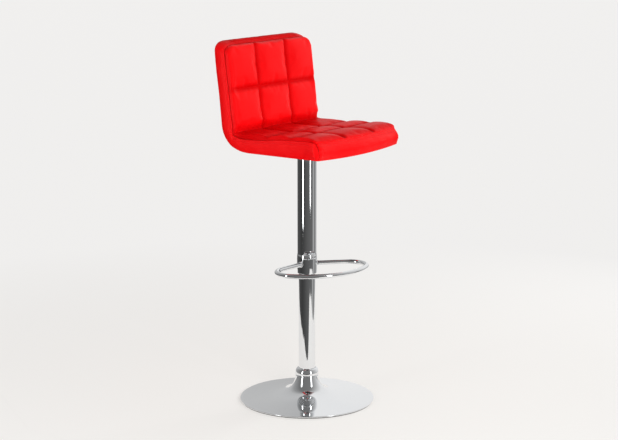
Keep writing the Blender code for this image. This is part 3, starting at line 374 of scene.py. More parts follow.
def makeBase():
    low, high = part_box("base_dish")
    rim, rimBottom, rimTop = high.x, low.z, low.z + base["rimHeight"]
    collarLow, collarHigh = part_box("foot_collar")
    neck, lip = collarHigh.x - base["tuck"], rim - base["rimFlat"]
    root = neck - base["spread"]
    strength = (high.z - rimTop - base["slope"] * (rim - neck)) * (neck - root) ** 2

    def height(r):
        # A shallow cone plus a term that grows as the neck is reached.
        return rimTop + base["slope"] * (rim - r) + strength / (r - root) ** 2

    share = np.linspace(1, 0, base["rings"])
    radii = root + (lip - root) * ((neck - root) / (lip - root)) ** share
    outer = np.stack([radii, height(radii)], axis=-1)
    slope = np.gradient(outer[:, 1], outer[:, 0])
    wall = np.stack([slope, 0 * slope - 1], -1) / np.hypot(slope, 1)[:, None] * base["wall"]
    inner = (outer + wall)[::-1]
    inner = inner[inner[:, 0] < rim - 0.004]
    edge = filletProfile([
        (lip, height(lip), 0, 1), (rim, rimTop + 0.0002, base["rimRound"], 7),
        (rim, rimBottom, base["rimRound"] * 0.6, 5), (rim - 0.0022, rimBottom, 0.0004, 3),
        (lip, rimTop - 0.0012, 0, 1)])
    turnedPiece("trumpetBase", "base_dish", "base", base["segments"],
                np.concatenate([outer, edge[1:], inner]), 60, spunChrome)

    low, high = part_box("floor_ring")
    inside = high.x - 0.012    # two feet with a groove between them
    turnedPiece("floorRing", "floor_ring", "base", base["segments"], filletProfile([
        (high.x, high.z, 0.0005, 4), (inside, high.z, 0.0005, 4),
        (inside, 0.0006, 0.0006, 4), (inside + 0.0035, 0.0, 0.0006, 4),
        (inside + 0.0050, 0.0009, 0.0005, 3), (inside + 0.0070, 0.0009, 0.0005, 3),
        (inside + 0.0085, 0.0, 0.0006, 4), (high.x, 0.0006, 0.0006, 4)]), None, rubber, "rubber")

    # The collar is a bead whose outline is a quarter of an ellipse above a small tucked foot.
    bore, bulge, foot, top = 0.0253, collarHigh.x, collarLow.z, collarHigh.z
    waist, edge = foot + 0.30 * (top - foot), bore + 0.0004
    angle, turn = np.linspace(np.pi / 2, 0, 22), np.linspace(0, np.pi / 2, 8)
    crown = np.stack([edge + (bulge - edge) * np.cos(angle),
                      waist + (top - waist) * np.sin(angle)], -1)
    under = np.stack([bulge - 0.0014 * (1 - np.cos(turn)),
                      waist - (waist - foot) * np.sin(turn)], -1)[1:]
    turnedPiece("footCollar", "foot_collar", "base", base["segments"],
                np.concatenate([crown, under, [[bore, foot], [bore, top - 0.0006]]]))


tube = {"segments": 112, "edge": 0.0007, "rows": 14}


def makeTube(name, node, body, wall, lift=0.0):
    # A wall with rounded ends. The extra rows keep long reflections true.
    low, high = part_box(node)
    edge, outer, bore, bottom, top = tube["edge"], high.x, high.x - wall, low.z + lift, high.z
    side = np.linspace(top, bottom, tube["rows"])[1:-1]
    outside = np.stack([np.full(len(side), outer), side], -1)
    ends = filletProfile([(outer, top, edge, 5), (outer, bottom, edge, 5),
                          (bore, bottom, edge / 2, 3), (bore, top, edge / 2, 3)])
    turnedPiece(name, node, body, tube["segments"],
                np.concatenate([ends[:5], outside, ends[5:]]))


def makeColumn():
    makeTube("lowerColumn", "standing_tube", "base", 0.0015, 0.004)
    makeTube("coverTube", "cover_tube", "seat", 0.0012)
    low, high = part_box("footrest_collar")
    bore = high.x - 0.0012
    turnedPiece("footrestCollar", "footrest_collar", "seat", tube["segments"], filletProfile([
        (bore, high.z, 0, 1), (bore + 0.00035, high.z, 0.0002, 3),
        (high.x, high.z - 0.012, 0.0045, 9), (high.x, low.z + 0.0002, 0.0008, 5),
        (bore, low.z, 0.0003, 3)]))


footrest = {
    "reach": 0.1770,         # column axis to the front of the bar's centre line
    "frontRadius": 0.1830,
    "cornerRadius": 0.0520,
    "sweep": math.radians(20.0),
    "turn": math.radians(-24.0),
    "sides": 24,
    "weld": 0.0019,          # the bead's thickness
    "weldSides": (72, 12),
}


def arcPoints(centre, radius, start, end, count=26):
    angle = np.linspace(start, end, count)
    return np.stack([centre[0] + radius * np.cos(angle), centre[1] + radius * np.sin(angle)], -1)


def footrestLine(startRadius):
    # A straight arm, a corner arc tangent to it, and a front arc that the corner arc runs into.
    sweep, corner, front = footrest["sweep"], footrest["cornerRadius"], footrest["frontRadius"]
    centre = np.array([0.0, front - footrest["reach"]])
    along = np.array([math.cos(sweep), -math.sin(sweep)])
    inward = np.array([-math.sin(sweep), -math.cos(sweep)])
    offset = inward * corner - centre
    projected = along @ offset
    run = -projected + math.sqrt(projected ** 2 - offset @ offset + (front - corner) ** 2)
    cornerCentre = along * run + inward * corner
    outward = normalized(cornerCentre - centre)
    start, end = math.atan2(-inward[1], -inward[0]), math.atan2(outward[1], outward[0])
    arm = along * np.linspace(startRadius, run, 16)[:-1, None]
    half = np.concatenate([arm, arcPoints(cornerCentre, corner, start, end)[:-1],
                           arcPoints(centre, front, end, -math.pi / 2)])
    return np.concatenate([half, half[-2::-1] * [-1, 1]])


def sweepRound(line, radius, sides):
    # A circle carried along a line.
    tangent = normalized(np.gradient(line, axis=0))
    side = normalized(np.cross(tangent, [0.0, 0.0, 1.0]))
    over = np.cross(side, tangent)
    angle = ringAngles(sides)[None, :, None]
    return line[:, None] + radius * (side[:, None] * np.cos(angle) + over[:, None] * np.sin(angle))


def closedSweep(rings):
    # Each end gets a ring shrunk to its centre, which makeMesh merges into one closing point.
    first, last = rings[0].mean(0), rings[-1].mean(0)
    rings = np.concatenate([(first + (rings[0] - first) * 0.0001)[None], rings,
                            (last + (rings[-1] - last) * 0.0001)[None]])
    points = rings.reshape(-1, 3)
    return points, facesOutward(points, gridFaces(len(rings), rings.shape[1], False, True))


def turnedAbout(points, angle):
    c, s = math.cos(angle), math.sin(angle)
    return np.stack([points[..., 0] * c - points[..., 1] * s,
                     points[..., 0] * s + points[..., 1] * c, points[..., 2]], -1)


def makeFootrest():
    low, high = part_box("footrest_ring")
    height, radius = (low.z + high.z) / 2, (high.z - low.z) / 2
    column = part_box("footrest_collar")[1].x
    flat = footrestLine(column - 0.0008)
    line = np.concatenate([flat, np.full((len(flat), 1), height)], axis=1)
    points, faces = closedSweep(sweepRound(line, radius, footrest["sides"]))
    mesh = makeMesh("footrestBar", turnedAbout(points, footrest["turn"]), faces, merge=True)
    addPiece(mesh, tubeChrome, "seat", "chrome", "footrest_ring")

    # A weld bead is a rippled ring round the bar's end that follows the collar's round wall.
    around, across = footrest["weldSides"]
    a = ringAngles(around)[:, None]
    b = ringAngles(across)[None]
    beads = []
    for sign in (1, -1):
        size = footrest["weld"] * (1 + 0.16 * np.sin(a * 18 + sign) + 0.07 * np.sin(a * 5 + 1))
        side, up = ((radius + size * np.cos(b)) * wave(a) for wave in (np.cos, np.sin))
        wall = np.sqrt(np.maximum(column ** 2 - side ** 2, 0))
        out = wall + size * 0.9 * np.sin(b) + 0.0002
        points = np.stack([out, side, np.broadcast_to(up, out.shape)], -1).reshape(-1, 3)
        direction = -footrest["sweep"] if sign > 0 else math.pi + footrest["sweep"]
        points = turnedAbout(points, direction + footrest["turn"]) + [0, 0, height]
        beads.append((points, facesOutward(points, gridFaces(around, across, True, True))))
    addPiece(makeMesh("footrestWelds", *joinShapes(beads)), tubeChrome, "seat", "chrome")


makeBase()
makeColumn()
makeFootrest()
print("base, column and footrest made")

# Seat cushion.

cushion = {
    "recline": math.radians(7.4),
    "seatTop": 0.0590,           # above the seat's underside
    "cornerY": -0.1850,
    "bow": 0.0140,
    "bowFrom": -0.100,           # the front edge bows ahead of this line
    "slant": 0.210,
    "rearY": 0.1540,
    "rearRise": 0.1170,
    "thickness": 0.0400,
    "rearBend": 0.0850,
    "innerBend": 0.0200,
    "topCorner": (0.0390, 0.0250),   # half axes across and down
    "frontCorner": (0.0065, 0.0065),
    "cornerColumns": 0.090,      # columns outside this close up at the round corners
    "seamInset": 0.0008,         # the side seams lie this far inside the CAD's side
    "bandBulge": (0.0030, 0.0100, 0.0068),  # at the sides, the front and the top
    "topSeam": (0.0105, 0.0012),     # the back's front and rear seams below its top
    "seatLift": 0.0015,          # the cells' crown above the CAD's face
    "backLift": 0.0088,
    "seatSeamDrop": 0.0100,      # the seams below the crown
    "backSeamDrop": 0.0170,
    "frontSeamDrop": 0.0125,
    "shoulder": 0.0110,          # how wide the side's roll is, and the front edge's
    "frontShoulder": 0.0240,
    # How far the rear pads out, by height above the seat's underside.
    "rearSwell": [(0.0, 0.0006), (0.02, 0.0055), (0.05, 0.0080), (0.10, 0.0068), (0.16, 0.0050),
                  (0.23, 0.0056), (0.28, 0.0042), (0.3135, 0.0010)],
    # The seat's top sags to the rear: height against distance from the front edge.
    "seatSag": [(0.0, 0.0), (0.03, 0.0010), (0.12, -0.0015), (0.20, -0.0060), (0.262, -0.0065),
                (0.300, 0.0)],
    "rearSeamDrop": 0.0045,      # the side seam lies this much lower towards the bend
    "frontDroop": 0.0040,        # the front's lower edge hangs in its middle
    "recess": 0.0016,            # the underside's step where the dust cloth lies
    "columns": (-0.0710, 0.0710),
    "seatRows": (-0.0880, -0.0050),
    "backRow": 0.1760,           # above the seat's underside
    "channelWidth": 0.0080,      # half the width of a channel
    "channelDepth": 0.0052,
    "creaseShare": 0.30,         # of a channel's depth, where seat and back meet
    "creaseDepth": 0.0022,
    "overhang": 0.0012,          # how far the back's lowest cells stand out over the seat
    "cornerBulge": 0.0052,       # more roundness at the seat's front corners
    "pillow": 0.0036,
    "spacing": (0.0021, 0.0062, 0.030),  # grid step at a seam, away from it, and how far that is
    "skin": 0.0013,
}


def spacedBy(length, marks):
    # Positions from 0 to length whose spacing grows from fine at each mark to coarse away from it.
    fine, coarse, reach = cushion["spacing"]
    probe = np.linspace(0, length, 4000)
    near = np.min(np.abs(probe[:, None] - np.array(marks)[None]), axis=1)
    spacing = fine + (coarse - fine) * unit(near / reach) ** 1.2
    total = np.concatenate([[0], np.cumsum(1 / spacing[:-1] * np.diff(probe))])
    places = np.interp(np.linspace(0, total[-1], int(round(total[-1])) + 1), total, probe)
    for mark in marks:
        places[np.argmin(np.abs(places - mark))] = mark
    return places


def bendOf(inner):
    # Centre (y, z) and radius of the bend between seat and back, and the seat's level there.
    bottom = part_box("boxing_band")[0].z
    c, s = math.cos(cushion["recline"]), math.sin(cushion["recline"])
    radius = cushion["innerBend"] if inner else cushion["rearBend"]
    level = bottom + cushion["seatTop"] if inner else bottom
    shift = (cushion["thickness"] + radius) if inner else radius
    start = np.array([cushion["rearY"] - c * shift, bottom + cushion["rearRise"] + s * shift])
    return start + np.array([s, c]) * ((level + radius - start[1]) / c), radius, level


def roundedWidth(half, corner, fromEnd):
    # Half the width at a distance from an end whose corners are quarters of an ellipse.
    return half - corner[0] + corner[0] * np.sqrt(1 - unit(1 - fromEnd / corner[1]) ** 2)


def cornerDistance(x, half, corner, fromEnd):
    # How far a point is from the outline of an end with round corners.
    over = np.clip((np.abs(x) - half + corner[0]) / corner[0], 0, None)
    down = np.clip((corner[1] - fromEnd) / corner[1], 0, None)
    return np.where((over > 0) & (down > 0), (1 - np.hypot(over, down)) * min(corner),
                    np.minimum(half - np.abs(x), fromEnd))


def shoulder(distance, width):
    # A quarter of a slightly squared ellipse: 1 at the seam, where it is upright, and 0 at width.
    q = unit(1 - distance / width)
    return 1 - np.maximum(1 - q ** 2.3, 0) ** (1 / 2.3)


def cellShare(value, lines):
    # From -1 to 1 across the cell that a value falls in, between rising lines.
    lines = np.array(lines)
    cell = np.clip(np.searchsorted(lines, value) - 1, 0, len(lines) - 2)
    return (value - lines[cell]) / (lines[cell + 1] - lines[cell]) * 2 - 1


def makeGrids():
    low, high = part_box("boxing_band")
    half, bottom = high.x - cushion["seamInset"], low.z
    centreIn, radiusIn = bendOf(True)[:2]
    c, s = math.cos(cushion["recline"]), math.sin(cushion["recline"])
    bendAngle = math.pi / 2 - cushion["recline"]

    # Lengths along the front face: seat, bend, back.
    frontEdge = cushion["cornerY"] + cushion["slant"] * (cushion["seatTop"] - cushion["seatSeamDrop"])
    frontTop, rearTop = (high.z - below for below in cushion["topSeam"])
    seatRun, bendRun = centreIn[0] - frontEdge, radiusIn * bendAngle
    backStart, backAt = centreIn[1] - radiusIn * s, seatRun + bendRun
    total = backAt + (frontTop - backStart) / c
    middle = seatRun + bendRun * 0.5
    rowMarks = [*(row - frontEdge for row in cushion["seatRows"]), middle,
                backAt + (bottom + cushion["backRow"] - backStart) / c]
    length = spacedBy(total, [0.0, *rowMarks, total])
    across = spacedBy(2 * half, [0.0, *(half + column for column in cushion["columns"]), 2 * half])
    across = across - half
    across = (across - across[::-1]) / 2
    rows, cols = len(length), len(across)

    run = length[:, None] * np.ones(cols)
    x = across[None] * np.ones((rows, 1))
    fromTop = total - run
    wide = np.minimum(roundedWidth(half, cushion["topCorner"], fromTop),
                      roundedWidth(half, cushion["frontCorner"], run))
    keep = cushion["cornerColumns"]
    closed = np.sign(x) * (keep + (np.abs(x) - keep) * (wide - keep) / (half - keep))
    x = np.where(np.abs(x) > keep, closed, x)
    round2 = 1 - (x / half) ** 2
    seatRows, backRows = length <= seatRun, length >= backAt
    bendRows = ~seatRows & ~backRows

    def layPath(inner, inset, edge, topZ):
        # y, z and the air side's direction for every row, and how far the bow moves its points.
        centre, radius, level = bendOf(inner)
        radius, level, forward = radius - inset, level + inset, 1.0 if inner else -1.0
        y, z, ny, nz = np.zeros((4, rows))
        y[seatRows] = edge + (centre[0] - edge) * (length[seatRows] / seatRun)
        z[seatRows] = level
        nz[seatRows] = forward
        angle = -math.pi / 2 + (length[bendRows] - seatRun) / bendRun * bendAngle
        y[bendRows] = centre[0] + radius * np.cos(angle)
        z[bendRows] = centre[1] + radius * np.sin(angle)
        ny[bendRows], nz[bendRows] = -forward * np.cos(angle), -forward * np.sin(angle)
        start = centre[1] - radius * s
        climb = (length[backRows] - backAt) / (total - backAt) * (topZ - start)
        y[backRows] = centre[0] + radius * c + climb * s / c
        z[backRows] = start + climb
        ny[backRows], nz[backRows] = -forward * c, forward * s
        ahead = unit((cushion["bowFrom"] - y) / (cushion["bowFrom"] - edge))[:, None]
        return y, z, ny[:, None], nz[:, None], cushion["bow"] * round2 * ahead

    # Front face: seat top and back. Depth is how far a point lies below the crown.
    y, z, ny, nz, bow = layPath(True, 0.0, frontEdge, frontTop)
    edgeTop = cornerDistance(x, half, cushion["topCorner"], fromTop)
    edge = np.maximum(np.minimum(edgeTop, cornerDistance(x, half, cushion["frontCorner"], run)), 0)
    edge[:, [0, -1]] = 0
    edge[[0, -1]] = 0
    sideways = np.where(fromTop > 0.06, half - np.abs(x), edge)
    sideways[:, [0, -1]] = 0
    sideways[-1] = 0
    onSeat = unit((middle - run) / 0.03 + 0.5)
    lower = unit((run - 0.09) / 0.13)
    drop = ((cushion["seatSeamDrop"] + cushion["rearSeamDrop"] * lower ** 2 * (3 - 2 * lower)) * onSeat
            + cushion["backSeamDrop"] * (1 - onSeat))
    rimSide = shoulder(sideways, cushion["shoulder"])
    rimFront = shoulder(run, cushion["frontShoulder"])
    rim = 1 - (1 - rimSide) * (1 - rimFront)
    fallen = 1 - (1 - rimSide * drop / 0.02) * (1 - rimFront * cushion["frontSeamDrop"] / 0.02)
    channel = np.max([hump(x - mark, cushion["channelWidth"], 2.6) for mark in cushion["columns"]]
                     + [hump(run - mark, cushion["channelWidth"], 2.6)
                        * (cushion["creaseShare"] if mark == middle else 1) for mark in rowMarks], 0)
    puff = ((1 - np.abs(cellShare(x, [-half, *cushion["columns"], half])) ** 2.4)
            * (1 - np.abs(cellShare(run, [0.0, *rowMarks, total])) ** 2.4))
    lift = (cushion["seatLift"] * onSeat + cushion["backLift"] * (1 - onSeat)
            + cushion["overhang"] * hump(run - backAt + 0.001, 0.014))
    # The bend's arc is pushed out towards the line where the seat's and back's planes would meet.
    fromBend = np.clip(np.minimum(run - seatRun, backAt - run), 0, None) / radiusIn
    inner = unit((half - np.abs(x)) / 0.030) ** 0.7 * (1 - rim)
    depth = (0.02 * fallen - lift * (1 - 0.35 * hump(run - middle, 0.012))
             + radiusIn * (1 / np.cos(fromBend) - 1) * 0.9
             + inner * (cushion["channelDepth"] * channel
                        + cushion["pillow"] * (1 - puff) * (1 - 0.7 * hump(run - middle, 0.030))
                        + cushion["creaseDepth"] * hump(run - middle, 0.009)))
    sag = np.interp(length, *np.array(cushion["seatSag"]).T)
    front = np.stack([x, y[:, None] - bow - ny * depth, (z + sag)[:, None] - nz * depth], axis=-1)
    # Painted shade: darkest in the channels, then at the seams, as painted shadow under the back, a
    # little over the whole seat top, and on the front's roll.
    paintedShade = (unit(channel ** 0.8 * 0.66) * inner ** 0.4 + np.exp(-sideways / 0.0025) * 0.20
            + 0.48 * hump(np.maximum(seatRun - run, 0), 0.075, 1.5) * onSeat + 0.12 * onSeat
            + 0.30 * hump(run - 0.012, 0.013))

    # Rear face: underside and the back's rear, a little inside the band's bulge.
    lowEdge = cushion["cornerY"] + 0.0015
    y, z, ny, nz, bow = layPath(False, 0.0002, lowEdge, rearTop)
    crown = round2 * unit((run - seatRun - bendRun * 0.6) / 0.05) * unit(fromTop / 0.05)
    tuck = shoulder(np.maximum(edgeTop, 0), 0.006) * 0.0008 * (run > seatRun)
    swellOut = np.interp(z - bottom, *np.array(cushion["rearSwell"]).T)[:, None]
    out = 0.0012 * crown + swellOut * unit((run - seatRun) / (bendRun * 0.5)) - tuck
    droop = cushion["frontDroop"] * round2 * np.exp(-(y - lowEdge)[:, None] / 0.006)
    toEdge = np.minimum(half - np.abs(x), y[:, None] - bow - lowEdge + cushion["bow"] * round2)
    toEdge = np.minimum(toEdge, (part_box("dust_cover")[1].y + 0.004 - y)[:, None])
    recess = cushion["recess"] * unit((toEdge - 0.005) / 0.006)
    rear = np.stack([x, y[:, None] - bow + ny * out,
                     z[:, None] + nz * out + (recess - droop) * seatRows[:, None]], axis=-1)
    return {"front": front, "rear": rear, "paintedShade": unit(paintedShade), "rows": rows, "cols": cols,
            "length": length, "across": across, "seatRun": seatRun, "bendRun": bendRun,
            "middle": middle, "rowMarks": rowMarks, "rim": rim, "x": x, "run": run,
            "edge": np.minimum(edge, run), "sideways": np.minimum(sideways, np.maximum(edgeTop, 0))}


band = {
    # Where the band's columns lie between its front seam, 0, and its rear seam, 1.
    "shares": [0.0, 0.022, 0.055, 0.090, 0.125, 0.160, 0.195, 0.235, 0.300, 0.390, 0.490, 0.590,
               0.690, 0.785, 0.860, 0.920, 0.965, 1.0],
    "sewnColumns": (3, 6),       # the rows of stitches, which lie in shallow grooves
    "groove": 0.0008,
    "cornerReach": 0.032,
    "bendFolds": 0.0011,
    "puckers": 0.00022,
    "ripples": 0.00015,
}


def makeBand(grids):
    # From each border point of the front to that of the rear, bulged outwards by a profile. The
    # border runs up the left side, over the top, down the right and along the front.
    rows, cols = grids["rows"], grids["cols"]
    row = np.r_[np.arange(rows), np.full(cols - 1, rows - 1), np.arange(rows - 2, -1, -1),
                np.zeros(cols - 2, int)]
    col = np.r_[np.zeros(rows, int), np.arange(1, cols), np.full(rows - 1, cols - 1),
                np.arange(cols - 2, 0, -1)]
    corners = {"topLeft": rows - 1, "topRight": rows + cols - 2, "frontRight": 2 * rows + cols - 3}
    first, last = grids["front"][row, col], grids["rear"][row, col]
    middle = (first + last) / 2
    out = normalized(np.cross(np.roll(middle, -2, axis=0) - np.roll(middle, 2, axis=0), last - first))
    if out[10, 0] > 0:
        out = -out
    t = np.array(band["shares"])[None]
    step = np.arange(len(row))
    atFront = unit((step - corners["frontRight"]) / 4) * unit((len(row) - step) / 4)
    atTop = unit((step - corners["topLeft"]) / 12) * unit((corners["topRight"] - step) / 12)
    side, front, top = cushion["bandBulge"]
    turn = ((grids["length"][row] / band["cornerReach"]) ** 2
            + ((np.abs(grids["x"][row, col]) - grids["x"].max()) / band["cornerReach"]) ** 2)
    tall = (side + (front - side) * atFront + (top - side) * atTop
            + cushion["cornerBulge"] * np.exp(-turn))[:, None]
    soft = np.maximum(np.maximum(atFront, atTop), np.exp(-turn * 0.6))[:, None]
    bulge = tall * ((1 - np.abs(2 * t - 1) ** 2.6) * (1 - soft) + np.sin(np.pi * t) ** 1.35 * soft)
    for column in band["sewnColumns"]:
        bulge = bulge - band["groove"] * hump(t - band["shares"][column], 0.022)
    # Folds where the band turns the corner between seat and back, and small puckers along the seams.
    along = lengthAlong(middle)[:, None]
    bend = (hump(grids["length"][row] - grids["middle"], 0.020)
            * ((col == 0) | (col == cols - 1)))[:, None]
    fade = np.sin(np.pi * t) ** 0.5
    bulge = bulge + fade * (
        band["bendFolds"] * bend * np.exp(-t / 0.35) * np.sin(along * 620 + t * 9)
        + band["puckers"] * np.sin(along * 540 + 2 * np.sin(along * 31)) * hump(t - 0.14, 0.09)
        + band["ripples"] * np.sin(along * 95 + t * 7) * np.sin(along * 37 + 1.3))
    t = t[..., None]
    points = first[:, None] * (1 - t) + last[:, None] * t + out[:, None] * bulge[..., None]
    return points, row * cols + col, corners


def joinCover(grids, bandPoints, border):
    # One shell: front grid, rear grid, and the band's inner columns between their borders.
    rows, cols = grids["rows"], grids["cols"]
    count = rows * cols
    loop, wide = bandPoints.shape[:2]
    points = np.concatenate([part.reshape(-1, 3) for part in (grids["front"], grids["rear"],
                                                              bandPoints[:, 1:-1])])
    index = np.zeros((loop, wide), int)
    index[:, 0], index[:, -1] = border, border + count
    index[:, 1:-1] = 2 * count + np.arange(loop * (wide - 2)).reshape(loop, wide - 2)
    front = gridFaces(rows, cols)
    bandFaces = index.reshape(-1)[gridFaces(loop, wide, True)][:, ::-1]
    faces = facesOutward(points, np.concatenate([front, front[:, ::-1] + count, bandFaces]))
    return points, np.split(faces, [len(front), 2 * len(front)]), index


# What the cover's cloth is like, for the run that swells it.
cloth = {
    "quality": 5, "mass": 0.35, "tension_stiffness": 22, "compression_stiffness": 22,
    "shear_stiffness": 9, "bending_stiffness": 0.9, "tension_damping": 12,
    "compression_damping": 12, "air_damping": 4, "shrink_min": -0.010, "shrink_max": -0.010,
    "use_pressure": True, "uniform_pressure_force": 5.0, "vertex_group_mass": "sewn",
}
swelling = {"frames": 20, "cap": 0.0040, "panelShare": 0.85, "bandShare": 0.22}


def swell(points, faces, pinned):
    # Cloth with air pressure inside, held at the seams and channels. Its result is capped.
    piece = bpy.data.objects.new("coverTrial", makeMesh("coverTrial", points, faces))
    bpy.context.scene.collection.objects.link(piece)
    group = piece.vertex_groups.new(name="sewn")
    group.add(np.nonzero(pinned)[0].tolist(), 1.0, "REPLACE")
    modifier = piece.modifiers.new("cloth", "CLOTH")
    for name, value in cloth.items():
        setattr(modifier.settings, name, value)
    modifier.settings.effector_weights.gravity = 0
    modifier.collision_settings.use_collision = False
    modifier.point_cache.frame_start, modifier.point_cache.frame_end = 1, swelling["frames"]
    scene = bpy.context.scene
    for number in range(1, swelling["frames"] + 1):
        scene.frame_set(number)
    done = piece.evaluated_get(bpy.context.evaluated_depsgraph_get())
    moved = np.zeros(len(points) * 3, np.float32)
    done.data.vertices.foreach_get("co", moved)
    scene.frame_set(1)
    bpy.data.objects.remove(piece)
    step = moved.reshape(-1, 3).astype(float) - points
    size = np.linalg.norm(step, axis=1)[:, None]
    print("cloth moved the cover by up to %.1f mm, %.1f mm on average"
          % (size.max() * 1000, size.mean() * 1000))
    return step * np.minimum(1, swelling["cap"] / np.maximum(size, 1e-9))


def gridNormals(grid, toward, row=2):
    # Square to the grid at each point, on the side that points toward at the middle of a row.
    normal = np.cross(np.gradient(grid, axis=1), np.gradient(grid, axis=0))
    normal /= np.maximum(np.linalg.norm(normal, axis=-1)[..., None], 1e-12)
    return normal if normal[row, grid.shape[1] // 2] @ toward > 0 else -normal


def besideEdge(away, reach, start):
    # Nothing at an edge, strongest just beside it, and dying away.
    return np.exp(-away / reach) * (1 - np.exp(-away / start))


def puckers(grids):
    # Small folds that cross the channels: waves along each line that die away from it.
    rng = np.random.default_rng(7)
    x, run = grids["x"], grids["run"]
    total = np.zeros_like(x)
    for marks, here, other in ((cushion["columns"], x, run), (grids["rowMarks"], run, x)):
        for mark in marks:
            wave = besideEdge(np.abs(here - mark), 0.010, 0.0025) * waves(rng, [other], 320, 760, 4)
            total += wave * (0.5 + 0.5 * waves(rng, [other], 25, 50, 1))
    total += besideEdge(grids["edge"], 0.008, 0.002) * waves(rng, [x + run], 260, 520, 3) * 0.7
    return total * 0.00085 + waves(rng, [x, run], 12, 40, 5) * 0.0007 * (1 - grids["rim"])


def rearPuckers(grids):
    # Shallow waves behind the back, and short folds that run in from its edges.
    rng = np.random.default_rng(11)
    x, run, edge = grids["x"], grids["run"], grids["sideways"]
    onBack = unit((run - grids["seatRun"] - grids["bendRun"] * 0.7) / 0.04)
    folds = waves(rng, [x + run], 150, 380, 4) * besideEdge(edge, 0.012, 0.003)
    return onBack * (folds * 0.00144 + waves(rng, [x, run], 10, 34, 5) * 0.0014 * unit(edge / 0.02))


def coverPiece(name, points, faces, paintedShade, material, fill, *replaced):
    # A part of the cover with a skin's thickness inwards, then one smooth subdivision.
    used, local = np.unique(faces, return_inverse=True)
    mesh = makeMesh(name, points[used], local.reshape(faces.shape))
    # The painted shade mask goes on the points, for the leather to darken its colour.
    attribute = mesh.attributes.new("paintedShadeAmount", "FLOAT", "POINT")
    attribute.data.foreach_set("value", paintedShade[used].astype(np.float32))
    piece = addPiece(mesh, material, "seat", "red_leather", *replaced)
    addSkin(piece, cushion["skin"])
    smooth = piece.modifiers.new("smooth", "SUBSURF")
    smooth.levels = smooth.render_levels = 1


def makeCushion():
    grids = makeGrids()
    bandPoints, border, corners = makeBand(grids)
    rows, cols = grids["rows"], grids["cols"]
    points, (frontFaces, rearFaces, bandFaces), index = joinCover(grids, bandPoints, border)
    print("cover grid:", rows, "x", cols, "with", len(points), "points")
    count = rows * cols
    step = np.arange(len(index))
    onFront = step > corners["frontRight"]
    onTop = unit((step - corners["topLeft"] + 6) / 12) * unit((corners["topRight"] + 6 - step) / 12)
    # Painted shade over the cover: the grids' own, then along the band's seams and in its stitch
    # grooves, and heavily over the band's top.
    paintedShade = np.zeros(len(points))
    paintedShade[:count] = grids["paintedShade"].reshape(-1)
    paintedShade[index[:, 0]] = np.where(onFront, 0.04, np.maximum(paintedShade[index[:, 0]], 0.20))
    paintedShade[index[:, 1]] = np.where(onFront, 0.02, 0.10)
    paintedShade[index[:, -1]] = 0.30
    paintedShade[index[:, list(band["sewnColumns"])]] = 0.24
    paintedShade[index[:, :-1]] = np.maximum(paintedShade[index[:, :-1]], 0.62 * onTop[:, None])

    # The seams, the channels and the underside are held.
    pinned = np.zeros(len(points), bool)
    pinned[index[:, [0, -1]]] = True
    held = pinned[:2 * count].reshape(2, rows, cols)
    for mark in cushion["columns"]:
        held[0, :, np.argmin(np.abs(grids["across"] - mark))] = True
    for mark in grids["rowMarks"]:
        held[0, np.argmin(np.abs(grids["length"] - mark))] = True
    held[1, grids["length"] <= grids["seatRun"] + 0.002] = True
    share = np.full((len(points), 1), swelling["panelShare"])    # the firm band takes less of it
    share[index[:, 1:-1]] = swelling["bandShare"]
    allFaces = np.concatenate([frontFaces, rearFaces, bandFaces])
    points = points + swell(points, allFaces, pinned) * share

    front, rear = points[:2 * count].reshape(2, rows, cols, 3)
    up = np.array([0.0, 0.0, 1.0])
    inside = np.zeros((rows, cols, 1))
    inside[1:-1, 1:-1] = 1
    front += gridNormals(front, up) * puckers(grids)[..., None] * inside
    rear += gridNormals(rear, -up) * rearPuckers(grids)[..., None] * inside

    isSide = np.repeat(step < corners["frontRight"], len(band["shares"]) - 1)
    coverPiece("quiltedCover", points, frontFaces, paintedShade, redLeather, 0.6, "quilted_panel",
               "seat_foam", "back_foam")
    coverPiece("rearCover", points, rearFaces, paintedShade, bandLeather, 0.3, "rear_panel")
    coverPiece("sideBand", points, bandFaces[isSide], paintedShade, bandLeather, 0.4, "boxing_band")
    coverPiece("frontBand", points, bandFaces[~isSide], paintedShade, bandLeather, 0.5)
    return grids, points, rear, index, corners


grids, coverPoints, rearGrid, bandIndex, bandCorners = makeCushion()
print("cushion made")

# Stitching.

stitch = {"pitch": 0.0042, "length": 0.0031, "radius": 0.00042, "sides": 6, "proud": 0.00020,
          "dip": 0.0006, "rearInset": 3}


